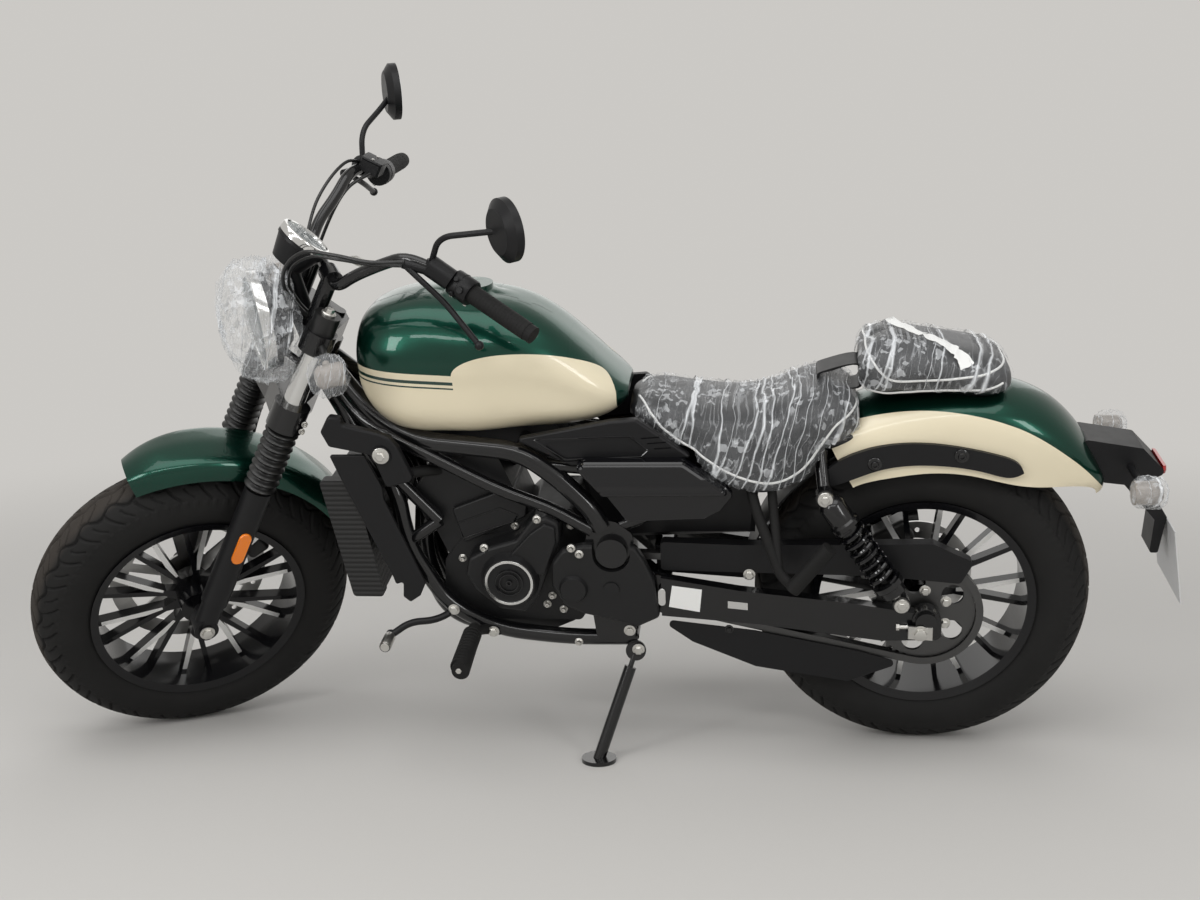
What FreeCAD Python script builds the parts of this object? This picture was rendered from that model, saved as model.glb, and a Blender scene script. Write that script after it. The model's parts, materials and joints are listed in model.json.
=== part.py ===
"""Cruiser motorcycle, parked on its side stand with the steering on its left stop.

Modelled upright in the bike's own frame: +X forward, +Y left, +Z up, millimetres,
with the rear wheel's foot near the origin. The fork is modelled about its steering
axis, then turned to its stop. At the end the whole machine is leaned on its stand.
"""
import FreeCAD
import Part
import math
import os
from FreeCAD import Placement, Rotation, Vector

# Attitude when parked, degrees
LEAN = 12.0
STEER_LOCK = 32.0

# Hard points of the chassis
PIVOT_X = 593.0
PIVOT_Z = 465.0
SWINGARM_LENGTH = 610.0
SWINGARM_DROP_DEG = 13.5
HEAD_AHEAD = 568.0
HEAD_ABOVE = 354.0
RAKE = 27.0
FORK_OFFSET = 62.0
FORK_DROP = 593.0
FORK_HALF_WIDTH = 104.0

# Tyres and rims
REAR_TYRE_RADIUS = 323.0
REAR_TYRE_WIDTH = 150.0
FRONT_TYRE_RADIUS = 320.0
FRONT_TYRE_WIDTH = 130.0
RIM_RADIUS = 207.0
RIM_WALL = 8.0
RIM_FLANGE = 8.0
TYRE_WALL = 13.0
SPOKE_PAIRS = 10
SPOKE_WIDTH = 13.0
SPOKE_DEPTH = 24.0
HUB_RADIUS = 36.0
REAR_HUB_WIDTH = 110.0
FRONT_HUB_WIDTH = 96.0
AXLE_RADIUS = 10.0
RUNNING_CLEARANCE = 0.3
PIVOT_PLATE_GAP = 1.0
SEAT_GAP = 0.3

# Drive
CHAIN_PITCH = 15.875
FRONT_TEETH = 14
REAR_TEETH = 41
CHAIN_LINE = 98.0
CHAIN_WIDTH = 18.0
CHAIN_HEIGHT = 14.0
CHAIN_PLATE = 4.0
SPROCKET_THICKNESS = 7.0
TOOTH_CUT = 1.0
WINDOW_RADIUS = 21.0
GROOVE_GAP = 2.0
FRONT_SPROCKET_AHEAD = 72.0
FRONT_SPROCKET_BELOW = 55.0

# Brakes
FRONT_DISC_RADIUS = 160.0
REAR_DISC_RADIUS = 110.0
DISC_THICKNESS = 5.0
DISC_BAND = 36.0
DISC_HOLES = 12
DISC_HOLE_RADIUS = 5.0
DISC_ARMS = 6
DISC_ARM_HALF = 11.0
CARRIER_RISE = 22.0
CARRIER_BORE = 18.0
REAR_DISC_SIDE = 76.0
FRONT_DISC_SIDE = 66.0
CALIPER_GAP = 1.5

# Fork
STANCHION_RADIUS = 20.5
BOOT_RADIUS = 33.0
BOOT_RIBS = 7
SLIDER_RADIUS = 27.0
CLAMP_TOP = -61.0
CLAMP_BOTTOM = -113.0
UPPER_YOKE_BOTTOM = 56.0
UPPER_YOKE_TOP = 98.0
CAP_TOP = 134.0
BOOT_BOTTOM = -258.0
STEM_RADIUS = 15.0
HEAD_TUBE_RADIUS = 29.0
BAR_RADIUS = 11.1
GRIP_RADIUS = 17.0
GRIP_LENGTH = 122.0

# Chassis tubes
SPAR_RADIUS = 19.0
BRACE_RADIUS = 12.5
PLATE = 8.0

# Fuel tank
TANK_BEHIND_HEAD = 94.0
TANK_LENGTH = 510.0
TANK_WIDTH = 296.0
TANK_BASE = 682.0
TANK_HEIGHT = 271.0
TANK_TUNNEL = 46.0
TANK_WALL = 3.0
TANK_CAP_RADIUS = 42.0
TANK_CAP_DEPTH = 60.0
TANK_CAP_RISE = 7.0
TANK_CAP_SHARE = 0.58
TUNNEL_LOW = 200.0
TUNNEL_TOP = 290.0

# Seats
SEAT_LENGTH = 432.0
SEAT_WIDTH = 300.0
SEAT_BASE = 600.0
SEAT_HEIGHT = 200.0
SKIRT = 22.0
PAN_SHARE = 0.44
PILLION_LENGTH = 270.0
PILLION_WIDTH = 215.0
PILLION_BASE = 748.0
PILLION_HEIGHT = 114.0

# Rear fender
FENDER_HALF_WIDTH = 112.0
FENDER_WALL = 3.0
FENDER_LOW_RADIUS = 297.0
FENDER_TOP_RADIUS = 462.0

# Front fender
FRONT_FENDER_HALF_WIDTH = 73.0
FRONT_FENDER_RADIUS = 376.0
FRONT_FENDER_DEPTH = 48.0
FRONT_FENDER_FALL = 40.0

# Side stand
STAND_PIVOT_BEHIND = 37.0
STAND_PIVOT_BELOW = 222.0
STAND_PIVOT_SIDE = 124.0
STAND_SPREAD_DEG = 23.0
STAND_RAKE_DEG = 20.0
STAND_LEG_RADIUS = 12.0
STAND_KNUCKLE = 10.0
STAND_FOOT_RADIUS = 34.0
STAND_FOOT_THICKNESS = 8.0
STAND_AXIS_TILT_DEG = 20.0

OVERRUN = 20.0
MIDDLE = Vector(0, 0, 0)
X, Y, Z = Vector(1, 0, 0), Vector(0, 1, 0), Vector(0, 0, 1)

DROP = math.radians(SWINGARM_DROP_DEG)
PIVOT = Vector(PIVOT_X, 0, PIVOT_Z)
REAR_AXLE = PIVOT - Vector(SWINGARM_LENGTH * math.cos(DROP), 0, SWINGARM_LENGTH * math.sin(DROP))
HEAD = PIVOT + Vector(HEAD_AHEAD, 0, HEAD_ABOVE)
FRONT_SPROCKET = PIVOT + Vector(FRONT_SPROCKET_AHEAD, 0, -FRONT_SPROCKET_BELOW)
STRAIGHT_FORK = Placement(HEAD, Rotation(Y, -RAKE))
FORK_AXLE = Vector(FORK_OFFSET, 0, -FORK_DROP)


def at(x, y, z):
    return Vector(x, y, z)


def mirror(shape):
    return shape.mirror(MIDDLE, Y)


def both(shape):
    return [shape, mirror(shape)]


def fuse(shapes):
    shapes = list(shapes)
    return shapes[0].multiFuse(shapes[1:]).removeSplitter() if len(shapes) > 1 else shapes[0]


def rod(start, end, radius):
    run = end - start
    return Part.makeCylinder(radius, run.Length, start, run)


def taper(start, end, radius, end_radius):
    run = end - start
    return Part.makeCone(radius, end_radius, run.Length, start, run)


def trimmed(shape, *others):
    """The shape, or each shape of a list, cut back to where it meets its neighbours."""
    if isinstance(shape, list):
        return [trimmed(s, *others) for s in shape]
    solids = [o for other in others for o in (other if isinstance(other, list) else [other])]
    return shape.cut(solids)


def pipe(start, end, radius, bore):
    return rod(start, end, radius).cut(rod(start - (end - start), end + (end - start), bore))


def block(low, high):
    size = high - low
    return Part.makeBox(size.x, size.y, size.z, low)


def outline(shares, corner, length, height):
    """Points in the XZ plane, from shares of a length and a height."""
    return [at(corner.x + s * length, corner.y, corner.z + t * height) for s, t in shares]


def rounded(points, radius):
    """A closed wire through the points, each corner rounded by an arc."""
    edges, last, first = [], None, None
    count = len(points)
    for i, corner in enumerate(points):
        before, after = points[i - 1] - corner, points[(i + 1) % count] - corner
        half = before.getAngle(after) / 2
        reach = min(radius / math.tan(half), 0.45 * before.Length, 0.45 * after.Length)
        size = reach * math.tan(half)
        before.normalize()
        after.normalize()
        start, end = corner + before * reach, corner + after * reach
        inward = before + after
        inward.normalize()
        middle = corner + inward * (size / math.sin(half) - size)
        if last is not None:
            edges.append(Part.LineSegment(last, start).toShape())
        else:
            first = start
        edges.append(Part.Arc(start, middle, end).toShape())
        last = end
    edges.append(Part.LineSegment(last, first).toShape())
    return Part.Wire(edges)


def slab(points, low_y, high_y, corner=0.0):
    """A plate cut to an outline in the XZ plane, between two side stations."""
    points = [at(p.x, low_y, p.z) for p in points]
    wire = rounded(points, corner) if corner else Part.makePolygon(points + points[:1])
    return Part.Face(wire).extrude(at(0, high_y - low_y, 0))


def spot(origin, size, x_share, y_share, z_share):
    """A point at shares of a size from an origin."""
    return origin + at(x_share * size.x, y_share * size.y, z_share * size.z)


def spots(origin, size, shares):
    return [spot(origin, size, *each) for each in shares]


def drawn_in(points, distance):
    """The outline's corners moved in, each square to its two sides."""
    count = len(points)
    turn = sum((points[i].x - points[i - 1].x) * (points[i].z + points[i - 1].z) for i in range(count))
    inside = []
    for i, corner in enumerate(points):
        before, after = corner - points[i - 1], points[(i + 1) % count] - corner
        before.normalize()
        after.normalize()
        inward = at(after.z + before.z, 0, -after.x - before.x) * (1 if turn > 0 else -1)
        inward.normalize()
        lean = inward.dot(at(before.z, 0, -before.x) * (1 if turn > 0 else -1))
        inside.append(corner + inward * (distance / max(lean, 0.5)))
    return inside


def domed(points, low_y, high_y, corner):
    """A cast cover: a plate cut to an outline whose outer edge is bevelled by half its corner."""
    bevel = corner / 2
    wires = []
    for inset, side in ((0.0, low_y), (0.0, high_y - bevel), (0.4 * bevel, high_y - 0.3 * bevel),
                        (bevel, high_y)):
        wires.append(rounded([at(p.x, side, p.z) for p in drawn_in(points, inset)], corner))
    return loft(wires, True)


def bent_tube(points, radius, bore=0.0):
    """A tube of straight runs joined by tangent arcs, each as large as its runs allow."""
    edges, last = [], points[0]
    for i in range(1, len(points) - 1):
        corner = points[i]
        before, after = points[i - 1] - corner, points[i + 1] - corner
        reach = 0.45 * min(before.Length, after.Length)
        half = before.getAngle(after) / 2
        before.normalize()
        after.normalize()
        start, end = corner + before * reach, corner + after * reach
        inward = before + after
        inward.normalize()
        size = reach * math.tan(half)
        middle = corner + inward * (size / math.sin(half) - size)
        edges.append(Part.LineSegment(last, start).toShape())
        edges.append(Part.Arc(start, middle, end).toShape())
        last = end
    edges.append(Part.LineSegment(last, points[-1]).toShape())
    path = Part.Wire(edges)

    def swept(size):
        ring = Part.Wire(Part.makeCircle(size, points[0], points[1] - points[0]))
        return path.makePipeShell([ring], True, True)
    return swept(radius).cut(swept(bore)) if bore else swept(radius)


def spun(profile, centre, axis=Y, start=0.0, sweep=360.0):
    """A solid turned from (radius, station) pairs about an axis along Y or Z."""
    if axis == Y:
        points = [centre + at(r, s, 0) for r, s in profile]
    else:
        points = [centre + at(r, 0, s) for r, s in profile]
    face = Part.Face(Part.makePolygon(points + points[:1]))
    face.rotate(centre, axis, start)
    return face.revolve(centre, axis, sweep)


def oval(x, half_width, low, high, power=0.8, points=12):
    """A closed smooth section across the bike: a circle at power 1, boxier below it."""
    middle, half = (low + high) / 2, (high - low) / 2
    ring = []
    for i in range(points):
        angle = 2 * math.pi * i / points
        c, s = math.cos(angle), math.sin(angle)
        ring.append(at(x, half_width * math.copysign(abs(c) ** power, c),
                       middle + half * math.copysign(abs(s) ** power, s)))
    curve = Part.BSplineCurve()
    curve.interpolate(ring, PeriodicFlag=True)
    return Part.Wire(curve.toShape())


def loft(wires, ruled=False):
    return Part.makeLoft(wires, True, ruled)


def polar(centre, radius, angle_deg, side=0.0):
    angle = math.radians(angle_deg)
    return centre + at(radius * math.cos(angle), side, radius * math.sin(angle))


def arch_section(centre, angle, low, top, half_width, lip):
    """A U-shaped fender section in the plane through the wheel's axis, closed below."""
    deep = top - low
    shares = ((low - lip, 1.0), (low + 0.4 * deep, 1.0), (low + 0.75 * deep, 0.9), (low + 0.94 * deep, 0.5),
              (top, 0.0))
    half = [polar(centre, r, angle, half_width * w) for r, w in shares]
    other = [polar(centre, r, angle, -half_width * w) for r, w in shares[:-1]]
    curve = Part.BSplineCurve()
    curve.interpolate(half + other[::-1])
    return Part.Wire([curve.toShape(), Part.LineSegment(other[0], half[0]).toShape()])


# Wheels

def tyre(centre, radius, width):
    rim, tall, crown = RIM_RADIUS, radius - RIM_RADIUS, width / 2
    crown_shares = ((0.47, 0.88), (0.83, 0.56), (1.0, 0.19))
    half = [(rim, 0.38 * width), (rim + 0.30 * tall, 0.49 * width)]
    for up_share, out_share in crown_shares:
        half.append((radius - crown + crown * up_share if up_share < 1 else radius, crown * out_share))
    outer = half + [(r, -s) for r, s in half[::-1]]
    inner = [(rim, -0.38 * width + TYRE_WALL), (radius - 0.30 * tall, -0.5 * width + TYRE_WALL),
             (radius - TYRE_WALL, -0.2 * width)]
    inner += [(r, -s) for r, s in inner[::-1]]
    return spun(outer + inner, centre)


def tyre_low_points(radius, width):
    """The tread's corners, as radius and station, that can touch the ground."""
    crown = width / 2
    return ((radius, 0.19 * crown), (radius - crown + crown * 0.83, 0.56 * crown))


def rim(centre, width, hub_width):
    seat, flare = 0.38 * width, 0.04 * width
    half = [(RIM_RADIUS, seat), (RIM_RADIUS + RIM_FLANGE, seat + flare),
            (RIM_RADIUS + RIM_FLANGE, seat + 2 * flare), (RIM_RADIUS - RIM_WALL, seat + flare)]
    band = spun(half + [(r, -s) for r, s in half[::-1]], centre)
    bore = AXLE_RADIUS + RUNNING_CLEARANCE
    hub = pipe(centre - Y * (hub_width / 2), centre + Y * (hub_width / 2), HUB_RADIUS, bore)
    step = 360.0 / SPOKE_PAIRS
    spread = 0.42 * step
    inner, outer = HUB_RADIUS - RIM_WALL, RIM_RADIUS - RIM_WALL / 2
    spokes = []
    for i in range(SPOKE_PAIRS):
        for side in (-1, 1):
            start = polar(centre, inner, i * step - side * spread)
            end = polar(centre, outer, i * step + side * spread / 2)
            spokes.append(spoke(start, end))
    return fuse([band, hub] + spokes)


def spoke(start, end):
    run = end - start
    across = run.cross(Y)
    across.normalize()
    across = across * (SPOKE_WIDTH / 2)
    depth = at(0, SPOKE_DEPTH / 2, 0)
    corners = [start - across - depth, end - across * 0.7 - depth, end + across * 0.7 - depth,
               start + across - depth]
    return Part.Face(Part.makePolygon(corners + corners[:1])).extrude(depth * 2)


def disc(centre, radius, side):
    """A drilled brake disc with its carrier, beside the hub at the given station."""
    face = centre + Y * side
    band = pipe(face, face + Y * DISC_THICKNESS, radius, radius - DISC_BAND)
    carrier = pipe(face, face + Y * DISC_THICKNESS, HUB_RADIUS + CARRIER_RISE, CARRIER_BORE)
    arms = []
    for i in range(DISC_ARMS):
        arm = block(at(HUB_RADIUS, 0, -DISC_ARM_HALF),
                    at(radius - DISC_BAND + DISC_THICKNESS, DISC_THICKNESS, DISC_ARM_HALF))
        arm.rotate(MIDDLE, Y, 360.0 * i / DISC_ARMS)
        arm.translate(face)
        arms.append(arm)
    whole = fuse([band, carrier] + arms)
    holes = []
    for i in range(DISC_HOLES):
        p = polar(face, radius - DISC_BAND / 2, 360.0 * i / DISC_HOLES)
        holes.append(rod(p - Y * OVERRUN, p + Y * OVERRUN, DISC_HOLE_RADIUS))
    return whole.cut(Part.makeCompound(holes))


def pitch_radius(teeth):
    return CHAIN_PITCH / (2 * math.sin(math.pi / teeth))


def rear_sprocket():
    face = REAR_AXLE + Y * (CHAIN_LINE - SPROCKET_THICKNESS / 2)
    radius = pitch_radius(REAR_TEETH)
    root, tip = radius - CHAIN_HEIGHT / 2 - TOOTH_CUT, radius - TOOTH_CUT
    points = []
    for i in range(REAR_TEETH):
        for share, r in ((0.0, root), (0.35, root), (0.5, tip), (0.65, tip)):
            points.append(polar(face, r, 360.0 * (i + share) / REAR_TEETH))
    plate = Part.Face(Part.makePolygon(points + points[:1])).extrude(Y * SPROCKET_THICKNESS)
    windows = []
    for i in range(5):
        place = polar(face, 0.62 * radius, 72 * i)
        window = rod(place - Y * OVERRUN, place + Y * (SPROCKET_THICKNESS + OVERRUN), WINDOW_RADIUS)
        windows.append(window)
    bore = rod(face - Y * OVERRUN, face + Y * OVERRUN * 2, CARRIER_BORE)
    return plate.cut(Part.makeCompound(windows + [bore]))


def drive_chain():
    """A fixed closed loop round both sprockets, with the links' outline left plain."""
    big, small = pitch_radius(REAR_TEETH), pitch_radius(FRONT_TEETH)
    run = FRONT_SPROCKET - REAR_AXLE
    slope = math.degrees(math.atan2(run.z, run.x))
    open_angle = math.degrees(math.acos((big - small) / run.Length))

    def loop(extra):
        top_rear = polar(REAR_AXLE, big + extra, slope + open_angle)
        top_front = polar(FRONT_SPROCKET, small + extra, slope + open_angle)
        low_front = polar(FRONT_SPROCKET, small + extra, slope - open_angle)
        low_rear = polar(REAR_AXLE, big + extra, slope - open_angle)
        front = polar(FRONT_SPROCKET, small + extra, slope)
        rear = polar(REAR_AXLE, big + extra, slope + 180)
        wire = Part.Wire([Part.LineSegment(top_rear, top_front).toShape(),
                          Part.Arc(top_front, front, low_front).toShape(),
                          Part.LineSegment(low_front, low_rear).toShape(),
                          Part.Arc(low_rear, rear, top_rear).toShape()])
        face = Part.Face(wire)
        face.translate(Y * (CHAIN_LINE - CHAIN_WIDTH / 2))
        return face.extrude(Y * CHAIN_WIDTH)
    band = loop(CHAIN_HEIGHT / 2).cut(loop(-CHAIN_HEIGHT / 2))
    groove = rod(REAR_AXLE + Y * (CHAIN_LINE - CHAIN_WIDTH / 2 + CHAIN_PLATE),
                 REAR_AXLE + Y * (CHAIN_LINE + CHAIN_WIDTH / 2 - CHAIN_PLATE), big + GROOVE_GAP)
    return band.cut(groove)


# Swingarm, shocks and chain guards

ARM_INNER = 112.0
ARM_OUTER = 136.0
ARM_FRONT_OUTER = 125.0
ARM_NECK = 92.0
ARM_CORNER = 12.0
ARM_SHARES = ((1.04, 1.12), (0.97, 1.16), (0.88, 0.63), (0.59, 0.42), (0.24, 0.25), (0.02, 0.10),
              (-0.05, 0.05), (-0.05, -0.29), (0.14, -0.31), (0.53, -0.08), (0.85, 0.04),
              (1.0, 0.66), (1.05, 0.9))
PIVOT_BUSH_RADIUS = 26.0
PIVOT_SHAFT_RADIUS = 11.0
BRIDGE_RADIUS = 22.0
BRIDGE_INSET = 4.0
WEB_WIDTH = 30.0
WEB_HEIGHT = 18.0
AXLE_BOSS = 26.0
BOSS_RISE = 4.0
AXLE_NUT_RADIUS = 20.0
AXLE_NUT = 12.0
CHAIN_ROOM = 5.0


def along_arm(share, rise):
    """A point by its shares of the way from the rear axle to the pivot."""
    run = PIVOT - REAR_AXLE
    return REAR_AXLE + at(share * run.x, 0, rise * run.z)


def swingarm():
    points = [along_arm(s, t) for s, t in ARM_SHARES]
    side = slab(points, ARM_INNER, ARM_OUTER, ARM_CORNER)
    neck = PIVOT - X * ARM_NECK
    side = side.cut(block(at(neck.x, ARM_FRONT_OUTER, 0),
                          at(PIVOT.x + 2 * ARM_NECK, ARM_OUTER + OVERRUN, 2 * PIVOT.z)))
    lug = rod(REAR_AXLE + Y * ARM_INNER, REAR_AXLE + Y * (ARM_OUTER + BOSS_RISE), AXLE_BOSS)
    arms = both(fuse([side, lug]))
    cross = along_arm(0.85, 0.46)
    reach = Y * (ARM_INNER + BRIDGE_INSET)
    bridge = rod(cross - reach, cross + reach, BRIDGE_RADIUS)
    inner = CHAIN_LINE - CHAIN_WIDTH / 2 - CHAIN_ROOM
    bush = rod(PIVOT - Y * (ARM_INNER + BRIDGE_INSET / 4), PIVOT + Y * inner, PIVOT_BUSH_RADIUS)
    high, wide = Z * WEB_HEIGHT, X * WEB_HEIGHT
    web = slab([PIVOT + wide * 0.45 + high * 0.67, PIVOT - wide * 0.45 + high, cross - wide,
                cross + wide * 0.78 - high * 0.67], inner - WEB_WIDTH, inner)
    whole = fuse(arms + [bridge, bush, web, mirror(web)])
    whole = whole.cut(rod(PIVOT - Y * ARM_OUTER, PIVOT + Y * ARM_OUTER, PIVOT_SHAFT_RADIUS))
    end = Y * (ARM_OUTER + AXLE_NUT)
    axle = rod(REAR_AXLE - end, REAR_AXLE + end, AXLE_RADIUS)
    nuts = both(rod(REAR_AXLE + Y * (ARM_OUTER + BOSS_RISE), REAR_AXLE + end, AXLE_NUT_RADIUS))
    return fuse([whole, axle] + nuts)


SHOCK_TOP_BEHIND = 400.0
SHOCK_TOP_ABOVE = 122.0
SHOCK_TOP_SIDE = 152.0
SHOCK_LOW_AHEAD = 50.0
SHOCK_LOW_ABOVE = 52.0
SHOCK_LOW_SIDE = 160.0
SHOCK_EYE_RADIUS = 17.0
SHOCK_EYE_HALF = 13.0
SHOCK_BOLT_RADIUS = 10.0
SHOCK_BOLT_END = 22.0
SHOCK_COVER_RADIUS = 24.0
SHOCK_COVER_SHARE = 0.34
SHOCK_ROD_RADIUS = 11.0
SHOCK_COLLAR_RADIUS = 31.0
SHOCK_COLLAR_UP = 46.0
SHOCK_COLLAR = 16.0
SHOCK_SPRING_RADIUS = 28.0
SHOCK_WIRE = 8.0
SHOCK_SPRING_SHARE = 0.70
SHOCK_COILS = 6


def shock_ends():
    top = PIVOT + at(-SHOCK_TOP_BEHIND, SHOCK_TOP_SIDE, SHOCK_TOP_ABOVE)
    low = REAR_AXLE + at(SHOCK_LOW_AHEAD, SHOCK_LOW_SIDE, SHOCK_LOW_ABOVE)
    return top, low


def shock():
    top, low = shock_ends()
    run = low - top
    line = at(run.x, run.y, run.z)
    line.normalize()
    eyes = [rod(p - Y * SHOCK_EYE_HALF, p + Y * SHOCK_EYE_HALF, SHOCK_EYE_RADIUS) for p in (top, low)]
    inside = line * SHOCK_BOLT_RADIUS
    upper = rod(top + inside, top + line * (SHOCK_COVER_SHARE * run.Length), SHOCK_COVER_RADIUS)
    damper = rod(top + inside, low - inside, SHOCK_ROD_RADIUS)
    seat = low - line * SHOCK_COLLAR_UP
    collar = rod(seat, seat + line * SHOCK_COLLAR, SHOCK_COLLAR_RADIUS)
    length = SHOCK_SPRING_SHARE * run.Length - SHOCK_COLLAR_UP
    begin, pitch = seat - line * length, length / SHOCK_COILS
    coils = []
    for i in range(SHOCK_COILS):
        base = begin + line * (i * pitch)
        middle = base + line * (pitch / 2)
        coils.append(taper(base, middle, SHOCK_SPRING_RADIUS - SHOCK_WIRE, SHOCK_SPRING_RADIUS))
        coils.append(taper(middle, base + line * pitch, SHOCK_SPRING_RADIUS,
                           SHOCK_SPRING_RADIUS - SHOCK_WIRE))
    bolts = [rod(p - Y * SHOCK_EYE_HALF, p + Y * SHOCK_BOLT_END, SHOCK_BOLT_RADIUS) for p in (top, low)]
    return fuse(eyes + [upper, damper, collar] + coils + bolts)


GUARD_WALL = 3.0
GUARD_GAP = 3.0
UPPER_GUARD_LENGTH = 590.0
UPPER_GUARD_HEIGHT = 85.0
UPPER_GUARD_BEHIND = 88.0
UPPER_GUARD_ABOVE = 66.0
LOWER_GUARD_LENGTH = 470.0
LOWER_GUARD_HEIGHT = 140.0
LOWER_GUARD_AHEAD = 40.0
LOWER_GUARD_BELOW = 148.0
GUARD_CORNER = 8.0
UPPER_GUARD_SHARES = ((0.0, 0.52), (0.04, 0.0), (0.30, 0.18), (1.0, 0.30), (1.0, 1.0), (0.74, 0.93),
                      (0.35, 0.95), (0.13, 0.97))
LOWER_GUARD_SHARES = ((0.0, 0.30), (0.22, 0.0), (0.60, 0.22), (0.86, 0.60), (1.0, 0.95), (0.60, 0.78),
                      (0.18, 0.48))


def chain_guards():
    inner, outer = CHAIN_LINE - CHAIN_WIDTH / 2 - GUARD_GAP, ARM_INNER - SEAT_GAP
    top = outline(UPPER_GUARD_SHARES, REAR_AXLE + at(-UPPER_GUARD_BEHIND, 0, UPPER_GUARD_ABOVE),
                  UPPER_GUARD_LENGTH, UPPER_GUARD_HEIGHT)
    upper = slab(top, inner, outer, GUARD_CORNER)
    upper = upper.cut(slab([p - Z * GUARD_WALL for p in top], inner - OVERRUN, outer - GUARD_WALL,
                           GUARD_CORNER))
    low = outline(LOWER_GUARD_SHARES, REAR_AXLE + at(LOWER_GUARD_AHEAD, 0, -LOWER_GUARD_BELOW),
                  LOWER_GUARD_LENGTH, LOWER_GUARD_HEIGHT)
    return [upper, slab(low, outer - GUARD_WALL, outer, GUARD_CORNER)]


# Frame

PIVOT_PLATE_INNER = ARM_FRONT_OUTER + PIVOT_PLATE_GAP
PIVOT_CAP = 14.0
PIVOT_CAP_RADIUS = 30.0
PLATE_CORNER = 12.0
CRADLE_RADIUS = 16.0
SEAT_RAIL_RADIUS = 12.0
CHASSIS = Vector(HEAD_AHEAD, PIVOT_PLATE_INNER + PLATE / 2, HEAD_ABOVE)

# Points from the pivot, as shares of the chassis: ahead, half width, up
SPAR_SHARES = ((0.032, 1.0, 0.136), (0.063, 1.0, 0.243), (0.164, 0.962, 0.41), (0.294, 0.923, 0.565),
               (0.658, 0.692, 0.596), (0.827, 0.423, 0.734), (0.986, 0.092, 1.023))
SECOND_SHARES = ((0.063, 1.0, 0.113), (0.194, 0.908, 0.226), (0.371, 0.885, 0.333), (0.704, 0.754, 0.599),
                 (0.845, 0.462, 0.678), (1.0, 0.108, 0.949))
CRADLE_SHARES = ((1.004, 0.092, 0.932), (0.827, 0.508, 0.494), (0.732, 0.738, 0.311), (0.713, 0.80, 0.0),
                 (0.581, 0.831, -0.373), (0.41, 0.80, -0.525), (0.165, 0.754, -0.582), (-0.07, 0.723, -0.582))
BRACE_SHARES = ((0.739, 0.738, 0.395), (0.593, 0.769, 0.136), (0.718, 0.792, 0.0))
SEAT_RAIL_SHARES = ((0.211, 0.923, 0.486), (-0.106, 0.815, 0.424), (-0.458, 0.723, 0.424),
                    (-0.757, 0.70, 0.599), (-0.986, 0.70, 0.636))
STAY_SHARES = ((0.0, 0.938, 0.113), (-0.581, 0.723, 0.486))
PLATE_SHARES = ((-0.07, 0.0, 0.102), (-0.018, 0.0, 0.169), (0.07, 0.0, 0.198), (0.099, 0.0, -0.028),
                (0.063, 0.0, -0.537), (-0.067, 0.0, -0.537), (-0.092, 0.0, -0.254))
CROSS_SHARES = ((-0.053, 0.723, -0.582), (0.294, 0.908, 0.565), (-0.458, 0.723, 0.424), (-0.96, 0.70, 0.633))


def chassis(shares):
    return spots(PIVOT, CHASSIS, shares)


def frame_side_tubes():
    side = [bent_tube(chassis(SPAR_SHARES), SPAR_RADIUS), bent_tube(chassis(SECOND_SHARES), BRACE_RADIUS),
            bent_tube(chassis(CRADLE_SHARES), CRADLE_RADIUS),
            bent_tube(chassis(SEAT_RAIL_SHARES), SEAT_RAIL_RADIUS)]
    upper, knee, lower = chassis(BRACE_SHARES)
    side += [rod(upper, knee, BRACE_RADIUS), rod(knee, lower, BRACE_RADIUS)]
    stay_low, stay_high = chassis(STAY_SHARES)
    side.append(rod(stay_low, stay_high, BRACE_RADIUS))
    shock_top = shock_ends()[0] - Y * (SHOCK_EYE_HALF + RUNNING_CLEARANCE)
    side.append(rod(spot(PIVOT, CHASSIS, -0.69, 0.708, 0.554), shock_top, BRACE_RADIUS))
    side.append(slab(chassis(PLATE_SHARES), PIVOT_PLATE_INNER, PIVOT_PLATE_INNER + PLATE, PLATE_CORNER))
    side.append(rod(PIVOT + Y * PIVOT_PLATE_INNER, PIVOT + Y * (PIVOT_PLATE_INNER + PLATE + PIVOT_CAP),
                    PIVOT_CAP_RADIUS))
    side.append(rod(spot(PIVOT, CHASSIS, 0.0, 0.69, -0.542), spot(PIVOT, CHASSIS, 0.0, 1.0, -0.53),
                    SEAT_RAIL_RADIUS))
    return side


HEAD_TUBE_INSET = 6.0


def head_tube():
    axis = at(-math.sin(math.radians(RAKE)), 0, math.cos(math.radians(RAKE)))
    return HEAD + axis * (CLAMP_TOP + HEAD_TUBE_INSET), HEAD + axis * (UPPER_YOKE_BOTTOM - HEAD_TUBE_INSET)


def main_frame():
    left = frame_side_tubes()
    tubes = left + [mirror(s) for s in left]
    for end in chassis(CROSS_SHARES):
        tubes.append(rod(at(end.x, -end.y, end.z), end, SEAT_RAIL_RADIUS))
    low, high = head_tube()
    tubes.append(rod(low, high, HEAD_TUBE_RADIUS))
    tubes.append(rod(PIVOT - Y * PIVOT_PLATE_INNER, PIVOT + Y * PIVOT_PLATE_INNER, PIVOT_SHAFT_RADIUS))
    tubes.append(stand_bracket())
    whole = fuse(tubes)
    return whole.cut(rod(low - (high - low), high + (high - low), STEM_RADIUS + RUNNING_CLEARANCE))


STAND_EAR_RADIUS = 20.0


def stand_pivot():
    return PIVOT + at(-STAND_PIVOT_BEHIND, STAND_PIVOT_SIDE, -STAND_PIVOT_BELOW)


def stand_axis():
    tilt = math.radians(STAND_AXIS_TILT_DEG)
    return at(0, math.cos(tilt), math.sin(tilt))


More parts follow.
